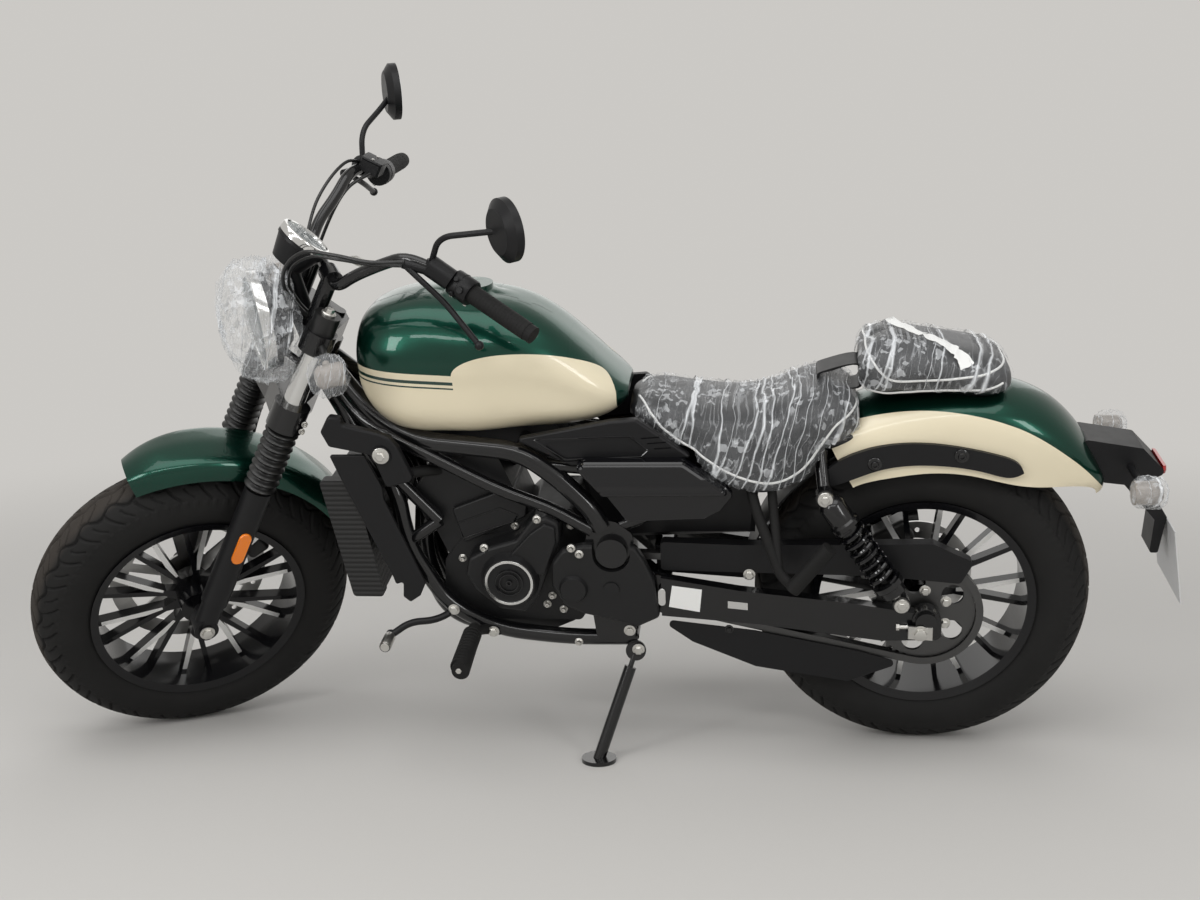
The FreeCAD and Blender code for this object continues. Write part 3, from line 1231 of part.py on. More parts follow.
def rear_caliper():
    whole = caliper(REAR_AXLE, REAR_DISC_RADIUS, -REAR_DISC_SIDE, 60, CALIPER_LENGTH)
    inner = -REAR_DISC_SIDE - CALIPER_WIDTH * 0.41
    arm = [polar(REAR_AXLE, REAR_DISC_RADIUS - DISC_THICKNESS, 36, side) for side in (inner, -ARM_INNER)]
    return fuse([whole, rod(arm[0], arm[1], CALIPER_ARM_RADIUS)])


# Fork, in its own frame: Z along the steering axis, X ahead of it

LEG = FORK_HALF_WIDTH
YOKE_BACK = 19.0
YOKE_EDGE = 20.0
YOKE_CORNER = 10.0
YOKE_BOSS = 8.0
YOKE_TOP_BOSS = 4.0
RISER_SIDE = 52.0
RISER_RADIUS = 16.0
RISER_CLAMP_RADIUS = 19.0
RISER_CLAMP_HALF = 20.0
RISER_INSET = 5.0
BAR_SEAT = 187.0


def leg_rod(low, high, radius):
    return rod(at(FORK_OFFSET, LEG, low), at(FORK_OFFSET, LEG, high), radius)


def yoke(low, high, boss):
    """A triple clamp: a stem boss behind, joined to a clamp on each leg."""
    back, front = FORK_OFFSET - YOKE_EDGE * 1.1, FORK_OFFSET + YOKE_EDGE
    middle = FORK_OFFSET + YOKE_EDGE * 0.7
    points = [at(-YOKE_BACK, -YOKE_EDGE, low), at(-YOKE_BACK, YOKE_EDGE, low), at(back, LEG, low),
              at(front, LEG, low), at(middle, 0, low), at(front, -LEG, low), at(back, -LEG, low)]
    web = Part.Face(rounded(points, YOKE_CORNER)).extrude(Z * (high - low))
    return [web] + both(leg_rod(low, high, boss))


def fork_yokes():
    lower = yoke(CLAMP_BOTTOM, CLAMP_TOP, SLIDER_RADIUS + YOKE_BOSS)
    upper = yoke(UPPER_YOKE_BOTTOM, UPPER_YOKE_TOP, SLIDER_RADIUS + YOKE_TOP_BOSS)
    stem = rod(at(0, 0, CLAMP_BOTTOM), at(0, 0, UPPER_YOKE_TOP + HEAD_TUBE_INSET), STEM_RADIUS)
    post = rod(at(FORK_OFFSET, RISER_SIDE, UPPER_YOKE_TOP - YOKE_BOSS),
               at(FORK_OFFSET, RISER_SIDE, BAR_SEAT - RISER_INSET), RISER_RADIUS)
    clamp = rod(at(FORK_OFFSET, RISER_SIDE - RISER_CLAMP_HALF, BAR_SEAT),
                at(FORK_OFFSET, RISER_SIDE + RISER_CLAMP_HALF, BAR_SEAT), RISER_CLAMP_RADIUS)
    whole = fuse(lower + upper + [stem] + both(fuse([post, clamp])))
    bores = both(leg_rod(CLAMP_BOTTOM - OVERRUN, CAP_TOP + OVERRUN, STANCHION_RADIUS))
    return whole.cut(bores)


BOOT_OVERLAP = 40.0
BOOT_GROOVE = 6.0
CAP_INSET = 2.0


def fork_tubes():
    tube = leg_rod(BOOT_BOTTOM - BOOT_OVERLAP, UPPER_YOKE_TOP, STANCHION_RADIUS)
    cap = leg_rod(UPPER_YOKE_TOP, CAP_TOP, SLIDER_RADIUS - CAP_INSET)
    return both(fuse([tube, cap]))


def fork_boots():
    step = (CLAMP_BOTTOM - BOOT_BOTTOM) / BOOT_RIBS
    profile = [(STANCHION_RADIUS, BOOT_BOTTOM)]
    for i in range(BOOT_RIBS):
        base = BOOT_BOTTOM + i * step
        profile += [(BOOT_RADIUS - BOOT_GROOVE, base), (BOOT_RADIUS, base + 0.5 * step)]
    profile += [(BOOT_RADIUS - BOOT_GROOVE, CLAMP_BOTTOM), (STANCHION_RADIUS, CLAMP_BOTTOM)]
    return both(spun(profile, at(FORK_OFFSET, LEG, 0), Z))


SLIDER_FOOT_UP = 60.0
SLIDER_FOOT_DOWN = 22.0
SLIDER_FOOT_INSET = 4.0
AXLE_LUG_RADIUS = 24.0
AXLE_LUG_INNER = 26.0
AXLE_LUG_OUTER = 20.0
FENDER_TAB_UP = 290.0
FENDER_TAB_HEIGHT = 36.0
FENDER_TAB_HALF = 15.0
FENDER_TAB_LAP = 2.0


def fork_sliders():
    bottom = -FORK_DROP
    body = leg_rod(bottom + SLIDER_FOOT_UP, BOOT_BOTTOM, SLIDER_RADIUS)
    foot = leg_rod(bottom - SLIDER_FOOT_DOWN, bottom + SLIDER_FOOT_UP + FENDER_TAB_LAP,
                   SLIDER_RADIUS - SLIDER_FOOT_INSET)
    lug = rod(at(FORK_OFFSET, LEG - AXLE_LUG_INNER, bottom), at(FORK_OFFSET, LEG + AXLE_LUG_OUTER, bottom),
              AXLE_LUG_RADIUS)
    leg = fuse([body, foot, lug])
    bore = leg_rod(BOOT_BOTTOM - BOOT_OVERLAP, BOOT_BOTTOM + OVERRUN, STANCHION_RADIUS)
    legs = [s.cut(b) for s, b in zip(both(leg), both(bore))]
    end = Y * (LEG + AXLE_LUG_INNER)
    axle = rod(FORK_AXLE - end, FORK_AXLE + end, AXLE_RADIUS)
    low = bottom + FENDER_TAB_UP
    tab = block(at(FORK_OFFSET - FENDER_TAB_HALF, FRONT_FENDER_HALF_WIDTH - FENDER_TAB_LAP, low),
                at(FORK_OFFSET + FENDER_TAB_HALF, LEG, low + FENDER_TAB_HEIGHT))
    tabs = [t.cut(b) for t, b in zip(both(tab), both(bore))]
    return fuse(legs + [axle] + tabs)


# Handlebar and what it carries: shares of the bar's pull back, half width and rise, from its seat
BAR_PULL = 234.0
BAR_HALF_WIDTH = 374.0
BAR_RISE = 131.0
BAR = Vector(BAR_PULL, BAR_HALF_WIDTH, BAR_RISE)
BAR_SHARES = ((0.0, 0.0, 0.0), (0.0, 0.257, 0.0), (-0.043, 0.326, 0.298), (-0.154, 0.401, 0.634),
              (-0.248, 0.497, 0.939), (-0.419, 0.604, 1.0), (-0.641, 0.679, 0.924), (-1.0, 1.0, 0.901))
PERCH_SHARES = ((-0.547, 0.663, 0.962), (-0.385, 0.594, 1.023), (-0.462, 0.631, 0.977))
BLADE_SHARES = ((-0.231, 0.529, 0.878), (-0.346, 0.618, 0.809), (-0.547, 0.698, 0.664),
                (-0.795, 0.888, 0.397))
MIRROR_SHARES = ((-0.393, 0.594, 1.092), (-0.321, 0.652, 1.496), (-0.513, 0.791, 1.847),
                 (-0.607, 0.877, 2.046))
GRIP_CAP = 14.0
GRIP_CAP_LAP = 4.0
PERCH_RADIUS = 20.0
BLADE_RADIUS = 5.5
BALL_RADIUS = 8.5
MIRROR_RADIUS = 56.0
MIRROR_DEPTH = 14.0
MIRROR_BACK = 12.0
MIRROR_BACK_RADIUS = 40.0
MIRROR_OFFSET = 4.0


def on_bar(shares):
    return spots(at(FORK_OFFSET, 0, BAR_SEAT), BAR, shares)


def handlebar():
    points = on_bar(BAR_SHARES)
    path = [at(p.x, -p.y, p.z) for p in points[:0:-1]] + points[1:]
    return bent_tube(path, BAR_RADIUS)


def grips():
    start, end = on_bar(BAR_SHARES)[-2:]
    line = end - start
    line.normalize()
    grip = pipe(end - line * GRIP_LENGTH, end + line * GRIP_CAP_LAP, GRIP_RADIUS, BAR_RADIUS)
    cap = rod(end + line * (GRIP_CAP_LAP * 0.75), end + line * (GRIP_CAP_LAP + GRIP_CAP), GRIP_RADIUS * 0.94)
    return both(fuse([grip, cap]))


def hand_levers():
    near, far, middle = on_bar(PERCH_SHARES)
    points = on_bar(BLADE_SHARES)
    body = fuse([rod(near, far, PERCH_RADIUS), rod(middle, points[0], REAR_BRACE_RADIUS)])
    return both(fuse([body, bent_tube(points, BLADE_RADIUS), Part.makeSphere(BALL_RADIUS, points[-1])]))


def mirrors():
    points = on_bar(MIRROR_SHARES)
    facing = at(-0.75, -0.10, 0.35)
    facing.normalize()
    back = points[-1] - facing * MIRROR_OFFSET
    shell = fuse([rod(back, back + facing * MIRROR_DEPTH, MIRROR_RADIUS),
                  taper(back - facing * MIRROR_BACK, back, MIRROR_BACK_RADIUS, MIRROR_RADIUS)])
    clamp = rod(points[0] - Z * MIRROR_DEPTH, points[0], REAR_BRACE_RADIUS)
    return both(fuse([bent_tube(points, BLADE_RADIUS), shell, clamp]))


def lamp_axis():
    return at(math.cos(math.radians(RAKE)), 0, -math.sin(math.radians(RAKE)))


LAMP_RADIUS = 92.0
LAMP_AHEAD = 142.0
LAMP_ABOVE = 43.0
LAMP_RING = 24.0
LAMP_LENS = 9.0
LAMP_LENS_EDGE = 8.0
LAMP_LENS_FLAT = 62.0
LAMP_SHELL = 54.0
LAMP_SHELL_RADIUS = 50.0
LAMP_EAR_RADIUS = 7.0
LAMP_EAR_RISE = 18.0
LAMP_EAR_AHEAD = 126.0


def headlamp():
    front, forward = at(LAMP_AHEAD, 0, LAMP_ABOVE), lamp_axis()
    ring = rod(front - forward * LAMP_RING, front, LAMP_RADIUS)
    lens = taper(front, front + forward * LAMP_LENS, LAMP_RADIUS - LAMP_LENS_EDGE, LAMP_LENS_FLAT)
    shell = taper(front - forward * LAMP_SHELL, front - forward * (LAMP_RING * 0.9), LAMP_SHELL_RADIUS,
                  LAMP_RADIUS - LAMP_LENS_EDGE / 2)
    ears = both(rod(at(FORK_OFFSET, LEG, LAMP_EAR_RISE),
                    at(LAMP_EAR_AHEAD, LAMP_RADIUS - LAMP_LENS_EDGE, LAMP_ABOVE), LAMP_EAR_RADIUS))
    return fuse([ring, lens, shell] + ears)


METER_RADIUS = 49.0
METER_AHEAD = 114.0
METER_ABOVE = 228.0
METER_BAND = 16.0
METER_CUP = 58.0
METER_CUP_RADIUS = 32.0
METER_FOOT_RADIUS = 11.0


def meter():
    centre = at(METER_AHEAD, 0, METER_ABOVE)
    facing = at(-0.29, 0, 0.957)
    cup = taper(centre - facing * METER_CUP, centre - facing * (METER_BAND * 0.9), METER_CUP_RADIUS,
                METER_RADIUS * 0.98)
    foot = rod(centre - facing * (METER_CUP * 0.86), at(FORK_OFFSET, 0, UPPER_YOKE_TOP - HEAD_TUBE_INSET),
               METER_FOOT_RADIUS)
    return fuse([cup, rod(centre - facing * METER_BAND, centre, METER_RADIUS), foot])


FRONT_SIGNAL_SIDE = 205.0
FRONT_SIGNAL_ABOVE = 60.0
FRONT_SIGNAL_RISE = 20.0


def front_signals():
    place = at(FORK_OFFSET, FRONT_SIGNAL_SIDE, FRONT_SIGNAL_ABOVE)
    root = at(FORK_OFFSET, LEG + SLIDER_RADIUS - YOKE_TOP_BOSS, FRONT_SIGNAL_ABOVE + FRONT_SIGNAL_RISE)
    return both(fuse([signal(place, lamp_axis()), rod(root, place, SIGNAL_STALK)]))


FRONT_CALIPER_ARM = 12.0


def front_caliper():
    body = caliper(FORK_AXLE, FRONT_DISC_RADIUS, -FRONT_DISC_SIDE, 128, FRONT_CALIPER_LENGTH)
    near = polar(FORK_AXLE, FRONT_DISC_RADIUS, 118, -LEG + FRONT_CALIPER_ARM)
    far = polar(FORK_AXLE, FRONT_DISC_RADIUS - DISC_THICKNESS, 96, -LEG)
    return fuse([body, rod(near, far, CALIPER_ARM_RADIUS)])


# Side stand

STAND_KNUCKLE_RADIUS = 17.0
STAND_BLADE = 36.0


def ground_in_bike(parked):
    """A point on the ground and the ground's upward normal, seen in the bike's frame."""
    back = parked.inverse()
    return back.multVec(MIDDLE), back.Rotation.multVec(Z)


def side_stand(parked):
    point, up = ground_in_bike(parked)
    pivot = stand_pivot()
    spread, rake = math.radians(STAND_SPREAD_DEG), math.radians(STAND_RAKE_DEG)
    line = at(math.tan(rake), math.tan(spread), -1)
    line.normalize()
    length = (pivot - point).dot(up) / -line.dot(up)
    foot = pivot + line * length
    axis = stand_axis()
    knuckle = Part.makeCylinder(STAND_KNUCKLE_RADIUS, STAND_KNUCKLE, pivot - axis * (STAND_KNUCKLE / 2), axis)
    leg = rod(pivot + line * (STAND_BLADE * 0.89), foot + up * (STAND_FOOT_THICKNESS / 2), STAND_LEG_RADIUS)
    blade = rod(pivot, pivot + line * STAND_BLADE, STAND_KNUCKLE / 2)
    sole = Part.makeCylinder(STAND_FOOT_RADIUS, STAND_FOOT_THICKNESS, foot, up)
    below = Part.makeCylinder(4 * STAND_FOOT_RADIUS, 4 * STAND_FOOT_RADIUS, foot, up * -1)
    return fuse([knuckle, blade, leg, sole]).cut(below)


# Parked attitude

def lowest(placement, centre, axle, radius, width):
    """Height of a leaned tyre's lowest tread corner above the ground."""
    hub = placement.multVec(centre)
    tilt = abs(placement.Rotation.multVec(axle).z)
    flat = math.sqrt(1 - tilt * tilt)
    return min(hub.z - r * flat - s * tilt for r, s in tyre_low_points(radius, width))


def parked_placement():
    """Lean the bike and set its pitch and height so that both tyres touch the ground."""
    steered = STRAIGHT_FORK.multiply(Placement(MIDDLE, Rotation(Z, STEER_LOCK)))
    front_hub = steered.multVec(FORK_AXLE)
    front_axle = steered.Rotation.multVec(Y)
    pitch, height = 0.0, 0.0
    for _ in range(12):
        turn = Rotation(X, -LEAN).multiply(Rotation(Y, pitch))
        place = Placement(at(0, 0, height), turn)
        rear = lowest(place, REAR_AXLE, Y, REAR_TYRE_RADIUS, REAR_TYRE_WIDTH)
        front = lowest(place, front_hub, front_axle, FRONT_TYRE_RADIUS, FRONT_TYRE_WIDTH)
        pitch += math.degrees((front - rear) / (front_hub - REAR_AXLE).Length)
        height -= rear
    return place, steered


def build_bike():
    parked, steered = parked_placement()
    rear = {
        "rear_tyre": tyre(REAR_AXLE, REAR_TYRE_RADIUS, REAR_TYRE_WIDTH),
        "rear_rim": rim(REAR_AXLE, REAR_TYRE_WIDTH, REAR_HUB_WIDTH),
        "rear_disc": disc(REAR_AXLE, REAR_DISC_RADIUS, -REAR_DISC_SIDE - DISC_THICKNESS),
        "rear_sprocket": rear_sprocket(),
    }
    shocks, bar, yokes = both(shock()), handlebar(), fork_yokes()
    frame_tubes, motor, arm = trimmed(main_frame(), shocks), engine(), swingarm()
    arch, lamp, can, boots = rear_arch(), tail_lamp(), exhaust(), fork_boots()
    seat, tank, levers = rider_seat(), fuel_tank(), hand_levers()
    tubes, sliders = fork_tubes(), fork_sliders()
    airbox, rests = trimmed(airbox_covers(), frame_tubes), trimmed(pegs(), frame_tubes)
    body = {
        "main_frame": frame_tubes, "swingarm": arm, "engine": motor, "stator_cover": stator_cover(),
        "sprocket_cover": sprocket_cover(), "clutch_cover": clutch_cover(),
        "radiator": trimmed(radiator(), frame_tubes),
        "radiator_shroud": radiator_shroud(), "fuel_tank": trimmed(tank, frame_tubes, motor),
        "side_panels": trimmed(side_panels(), frame_tubes), "airbox_covers": airbox,
        "rider_seat": trimmed(seat, frame_tubes, arch, tank, airbox),
        "pillion_seat": trimmed(pillion_seat(), arch, seat),
        "rear_fender": trimmed(rear_fender(), frame_tubes),
        "fender_rails": trimmed(fender_rails(), arch, shocks, frame_tubes),
        "tail_lamp": trimmed(lamp, arch), "number_plate": trimmed(number_plate(), lamp),
        "rear_signals": trimmed(rear_signals(), lamp), "exhaust": trimmed(can, motor, frame_tubes),
        "pegs": rests, "foot_controls": trimmed(foot_controls(), frame_tubes, rests),
        "shock_absorbers": shocks,
        "chain_guards": chain_guards(), "drive_chain": drive_chain(), "rear_caliper": rear_caliper(),
    }
    fork = {
        "fork_yokes": trimmed(yokes, bar), "fork_tubes": tubes, "fork_boots": boots, "fork_sliders": sliders,
        "front_fender": trimmed(front_fender(), sliders, boots), "handlebar": bar,
        "grips": trimmed(grips(), bar),
        "hand_levers": trimmed(levers, bar), "mirrors": trimmed(mirrors(), bar, levers),
        "headlamp": trimmed(headlamp(), tubes), "meter": trimmed(meter(), yokes, bar),
        "front_signals": trimmed(front_signals(), yokes), "front_caliper": trimmed(front_caliper(), sliders),
    }
    front = {
        "front_tyre": tyre(FORK_AXLE, FRONT_TYRE_RADIUS, FRONT_TYRE_WIDTH),
        "front_rim": rim(FORK_AXLE, FRONT_TYRE_WIDTH, FRONT_HUB_WIDTH),
        "front_disc": disc(FORK_AXLE, FRONT_DISC_RADIUS, -FRONT_DISC_SIDE - DISC_THICKNESS),
    }
    stand = {"side_stand": side_stand(parked)}
    turned = parked.multiply(steered)
    bodies = {"frame": (body, parked), "rear_wheel": (rear, parked), "fork": (fork, turned),
              "front_wheel": (front, turned), "side_stand": (stand, parked)}
    return bodies, parked, turned


def main():
    bodies, parked, turned = build_bike()
    shapes = {}
    for nodes, place in bodies.values():
        for name, solids in nodes.items():
            shape = Part.makeCompound(solids) if isinstance(solids, list) else solids
            shape.Placement = place.multiply(shape.Placement)
            shapes[name] = shape
    boxes = [s.optimalBoundingBox() for s in shapes.values()]
    middle_x = (min(b.XMin for b in boxes) + max(b.XMax for b in boxes)) / 2
    middle_y = (min(b.YMin for b in boxes) + max(b.YMax for b in boxes)) / 2
    shift = at(-middle_x, -middle_y, 0)
    os.makedirs("parts", exist_ok=True)
    for name, shape in shapes.items():
        shape.translate(shift)
        shape.exportStep(os.path.join("parts", name + ".step"))
    frame = {"shift": shift, "parked": parked, "turned": turned,
             "bodies": {body: list(nodes) for body, (nodes, _) in bodies.items()}}
    return frame, shapes


if __name__ == "__main__":
    main()
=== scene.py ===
import json
import math

import bpy
import numpy as np
from mathutils import Matrix, Vector, noise
from mathutils.bvhtree import BVHTree


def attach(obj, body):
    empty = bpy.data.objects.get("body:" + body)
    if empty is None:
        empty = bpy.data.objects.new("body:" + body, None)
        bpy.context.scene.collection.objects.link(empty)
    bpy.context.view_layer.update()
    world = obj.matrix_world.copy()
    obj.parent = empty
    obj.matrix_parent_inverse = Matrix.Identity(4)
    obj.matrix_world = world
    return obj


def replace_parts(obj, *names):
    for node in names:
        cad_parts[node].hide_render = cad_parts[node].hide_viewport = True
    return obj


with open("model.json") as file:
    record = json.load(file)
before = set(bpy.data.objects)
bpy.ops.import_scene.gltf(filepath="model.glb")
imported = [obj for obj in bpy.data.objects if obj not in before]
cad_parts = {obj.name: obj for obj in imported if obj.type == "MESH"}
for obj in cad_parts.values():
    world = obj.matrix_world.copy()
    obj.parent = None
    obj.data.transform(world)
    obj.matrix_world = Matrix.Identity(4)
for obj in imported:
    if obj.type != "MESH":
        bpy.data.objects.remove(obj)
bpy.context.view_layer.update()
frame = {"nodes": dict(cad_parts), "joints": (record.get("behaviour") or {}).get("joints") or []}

# The machine's own axes, read from its joints

MM = 0.001
IN_MM = 1000.0
SIDES = (1, -1)
RAKE = math.radians(27)
REAR_AXLE_HEIGHT = 322.6
joints = {j["name"]: j for j in frame["joints"]}


def joint_point(name):
    return Vector(joints[name]["pos_m"])


def joint_axis(name):
    return Vector(joints[name]["axis"]).normalized()


LEFT = joint_axis("rear_wheel_spin")
STEER = joint_axis("steering")
STRAIGHT = LEFT.cross(STEER)
AHEAD = STRAIGHT * math.cos(RAKE) - STEER * math.sin(RAKE)
UP = STRAIGHT * math.sin(RAKE) + STEER * math.cos(RAKE)
REAR_HUB = joint_point("rear_wheel_spin")
HEAD = joint_point("steering")
FRONT_HUB = joint_point("front_wheel_spin")
FORK_LEFT = joint_axis("front_wheel_spin")
FORK_AHEAD = FORK_LEFT.cross(STEER)


def bike(x, y, z):
    """A point by its millimetres ahead of the rear axle, to the left and above the ground when upright."""
    return REAR_HUB + (AHEAD * x + LEFT * y + UP * (z - REAR_AXLE_HEIGHT)) * MM


def fork(f, y, u):
    """A point by its millimetres ahead of the steering axis, to the left and up the axis."""
    return HEAD + (FORK_AHEAD * f + FORK_LEFT * y + STEER * u) * MM


def bike_way(x, y, z):
    return (AHEAD * x + LEFT * y + UP * z).normalized()


def fork_way(f, y, u):
    return (FORK_AHEAD * f + FORK_LEFT * y + STEER * u).normalized()


def ahead_of(point):
    """Millimetres ahead of the rear axle."""
    return (point - REAR_HUB).dot(AHEAD) / MM


def left_of(point):
    """Millimetres to the left of the middle plane."""
    return (point - REAR_HUB).dot(LEFT) / MM


def height_of(point):
    """Millimetres above the ground, machine upright."""
    return (point - REAR_HUB).dot(UP) / MM + REAR_AXLE_HEIGHT


# Places that several pieces share

LEG_AHEAD, LEG_SIDE = 62.0, 104.0
PEG_AHEAD, PEG_HEIGHT = 868.0, 305.0
RING_AHEAD, RING_HEIGHT = 793.0, 404.0
LAMP_CENTRE, LAMP_WAY = fork(142, 0, 43), fork_way(math.cos(RAKE), 0, -math.sin(RAKE))
METER_CENTRE, METER_WAY = fork(114, 0, 228), fork_way(-0.29, 0, 0.957)
FRONT_TYRE_RADIUS, FRONT_TYRE_WIDTH = 320.0, 130.0
REAR_TYRE_RADIUS, REAR_TYRE_WIDTH = 323.0, 150.0


def front_signal_place(side):
    return fork(62, 205 * side, 60)


def rear_signal_place(side):
    return bike(-376, 168 * side, 601)


# Camera, placed from the rear hub as the photograph shows it

CAMERA_FROM_HUB = (0.3028, 2.9312, 0.7836)
CAMERA_YAW_PITCH_ROLL = (-6.39, 9.76, -0.99)


def make_camera():
    data = bpy.data.cameras.new("camera")
    data.lens, data.sensor_width, data.sensor_fit = 45.0, 36.0, "HORIZONTAL"
    camera = bpy.data.objects.new("camera", data)
    bpy.context.scene.collection.objects.link(camera)
    yaw, pitch, roll = (math.radians(a) for a in CAMERA_YAW_PITCH_ROLL)
    look = Vector((-math.sin(yaw) * math.cos(pitch), -math.cos(yaw) * math.cos(pitch), -math.sin(pitch)))
    right = look.cross(Vector((0, 0, 1))).normalized()
    over = right.cross(look)
    level = right * math.cos(roll) + over * math.sin(roll)
    top = over * math.cos(roll) - right * math.sin(roll)
    turned = Matrix((level, top, -look)).transposed().to_4x4()
    camera.matrix_world = Matrix.Translation(REAR_HUB + Vector(CAMERA_FROM_HUB)) @ turned
    bpy.context.scene.camera = camera


# Shader maths

class Socket:
    """One value of a finish's nodes, so that shader maths reads as plain arithmetic."""

    def __init__(self, finish, link):
        self.finish, self.link = finish, link

    def maths(self, operation, *others, clamp=False):
        return self.finish.node("ShaderNodeMath", {"operation": operation, "use_clamp": clamp}, self, *others)

    def __add__(self, other):
        return self.maths("ADD", other)

    __radd__ = __add__

    def __sub__(self, other):
        return self.maths("SUBTRACT", other)

    def __rsub__(self, other):
        return self.finish.node("ShaderNodeMath", {"operation": "SUBTRACT"}, other, self)

    def __mul__(self, other):
        return self.maths("MULTIPLY", other)

    __rmul__ = __mul__

    def __truediv__(self, other):
        return self.maths("DIVIDE", other)

    def __rtruediv__(self, other):
        return self.finish.node("ShaderNodeMath", {"operation": "DIVIDE"}, other, self)

    def __pow__(self, other):
        return self.maths("POWER", other)

    def __abs__(self):
        return self.maths("ABSOLUTE")

    def __gt__(self, other):
        return self.maths("GREATER_THAN", other)

    def __lt__(self, other):
        return self.maths("LESS_THAN", other)

    def step(self, low, high):
        """0 below low, 1 above high, smooth between."""
        return self.finish.node("ShaderNodeMapRange", {"interpolation_type": "SMOOTHSTEP", "clamp": True},
                                self, low, high, 0.0, 1.0)

    def wave(self):
        return self.maths("SINE")


class Finish:
    """A material: a Principled shader with its node maths."""

    def __init__(self, name, colour=(0.5, 0.5, 0.5), rough=0.5, metal=0.0, **fixed):
        self.material = bpy.data.materials.new(name)
        self.material.use_nodes = True
        self.tree = self.material.node_tree
        self.tree.nodes.clear()
        self.end = self.tree.nodes.new("ShaderNodeOutputMaterial")
        self.shader = self.tree.nodes.new("ShaderNodeBsdfPrincipled")
        self.tree.links.new(self.shader.outputs[0], self.end.inputs[0])
        self.set("Base Color", colour)
        self.set("Roughness", rough)
        self.set("Metallic", metal)
        for key, value in fixed.items():
            self.set(key.replace("_", " ").title().replace("Ior", "IOR"), value)
        self.place = None

    def feed(self, socket, value):
        if isinstance(value, Socket):
            self.tree.links.new(value.link, socket)
        elif hasattr(socket, "default_value"):
            if hasattr(socket.default_value, "__len__"):
                value = tuple(value)
                value += (1.0,) * (len(socket.default_value) - len(value))
            socket.default_value = value

    def node(self, kind, settings, *values, out=0, **named):
        made = self.tree.nodes.new(kind)
        for key, value in settings.items():
            setattr(made, key, value)
        for socket, value in zip(made.inputs, values):
            self.feed(socket, value)
        for key, value in named.items():
            self.feed(made.inputs[int(key[1:]) if key[0] == "i" and key[1:].isdigit() else key], value)
        return Socket(self, made.outputs[out])

    def vector(self, operation, *values):
        """A vector operation whose result is one number."""
        return self.node("ShaderNodeVectorMath", {"operation": operation}, *values, out="Value")

    def set(self, name, value):
        self.feed(self.shader.inputs[name], value)
        return self

    def point(self):
        if self.place is None:
            self.place = self.node("ShaderNodeTexCoord", {}, out="Object")
        return self.place

    def along(self, way, origin=(0, 0, 0)):
        """How far the shaded point lies along a direction from an origin, in metres."""
        return self.vector("DOT_PRODUCT", self.point(), tuple(way)) - Vector(way).dot(Vector(origin))

    def away(self, centre):
        """How far the shaded point lies from a place, in millimetres."""
        return self.vector("DISTANCE", self.point(), tuple(centre)) * IN_MM

    def mix(self, factor, first, second):
        return self.node("ShaderNodeMix", {"data_type": "RGBA"}, out=2, i0=factor, i6=first, i7=second)

    def noise(self, scale, detail=3.0, rough=0.55, where=None):
        return self.node("ShaderNodeTexNoise", {}, Vector=where or self.point(), Scale=scale, Detail=detail,
                         Roughness=rough)

    def cells(self, scale):
        return self.node("ShaderNodeTexVoronoi", {"feature": "F1"}, Vector=self.point(), Scale=scale)

    def bump(self, height, strength, distance=0.001):
        bent = self.node("ShaderNodeBump", {}, Strength=strength, Distance=distance, Height=height)
        return self.set("Normal", bent)

    def on(self, *nodes):
        """Give this finish to carried-over solids."""
        for name in nodes:
            mesh = frame["nodes"][name].data
            mesh.materials.clear()
            mesh.materials.append(self.material)
        return self


# Finishes

CREAM = (0.80, 0.715, 0.52)
DEEP_GREEN, BRIGHT_GREEN = (0.0012, 0.017, 0.012), (0.003, 0.085, 0.052)
STRIPE_GREEN = (0.004, 0.035, 0.025)
TANK_NOSE = 873.0


def flaked(paint):
    """The green of the paint: fine bright flakes and slow clouds."""
    flake = paint.cells(2600.0).step(0.1, 0.5)
    cloud = paint.noise(9.0, 2.0)
    return paint.mix(flake * 0.35 + cloud * 0.3, DEEP_GREEN, BRIGHT_GREEN)


def lacquered(name):
    """Metallic paint under clear lacquer, with a faint orange peel."""
    paint = Finish(name, BRIGHT_GREEN, 0.27, 0.85, coat_weight=0.55, coat_roughness=0.03)
    return paint.bump(paint.noise(60.0, 2.0), 0.03, 0.0004)


def make_green():
    paint = lacquered("green_lacquer")
    return paint.set("Base Color", flaked(paint))


def two_tone(name, cream_mask, stripes=None):
    """Green over cream, with the line between them and any pinstripes laid in the paint."""
    paint = lacquered(name)
    cream = cream_mask(paint)
    colour = paint.mix(cream, flaked(paint), CREAM)
    if stripes is not None:
        colour = paint.mix(stripes(paint), colour, STRIPE_GREEN)
    paint.set("Base Color", colour)
    paint.set("Metallic", (1 - cream) * 0.85)
    return paint.set("Roughness", cream * 0.10 + 0.28)


def bike_plane(finish):
    """The shaded point's place ahead and up in the upright machine, in millimetres."""
    return (finish.along(AHEAD, REAR_HUB) * IN_MM, finish.along(UP, REAR_HUB) * IN_MM + REAR_AXLE_HEIGHT)


def larger(first, second):
    return first.maths("MAXIMUM", second)


def tank_line(x):
    """Height of the green paint's lower edge on the front of the tank."""
    return (x - TANK_NOSE) * 0.045 + 824.5


def tank_cream(paint):
    """Cream under a straight edge at the front, under an arch that ends in a round point behind it."""
    x, z = bike_plane(paint)
    ahead = x - 780.0
    front = ahead > 0.0
    reach, middle, height = 203.0 - front * 110.0, 761.0 + front * 63.0, 100.0 - front * 63.0
    above = larger(z - middle, 0.0) / height
    arch = ((ahead / reach) ** 2.0 + above * above) < 1.0
    nose = (x > TANK_NOSE) * (z < tank_line(x))
    return larger(arch * (x < TANK_NOSE + 0.5), nose)


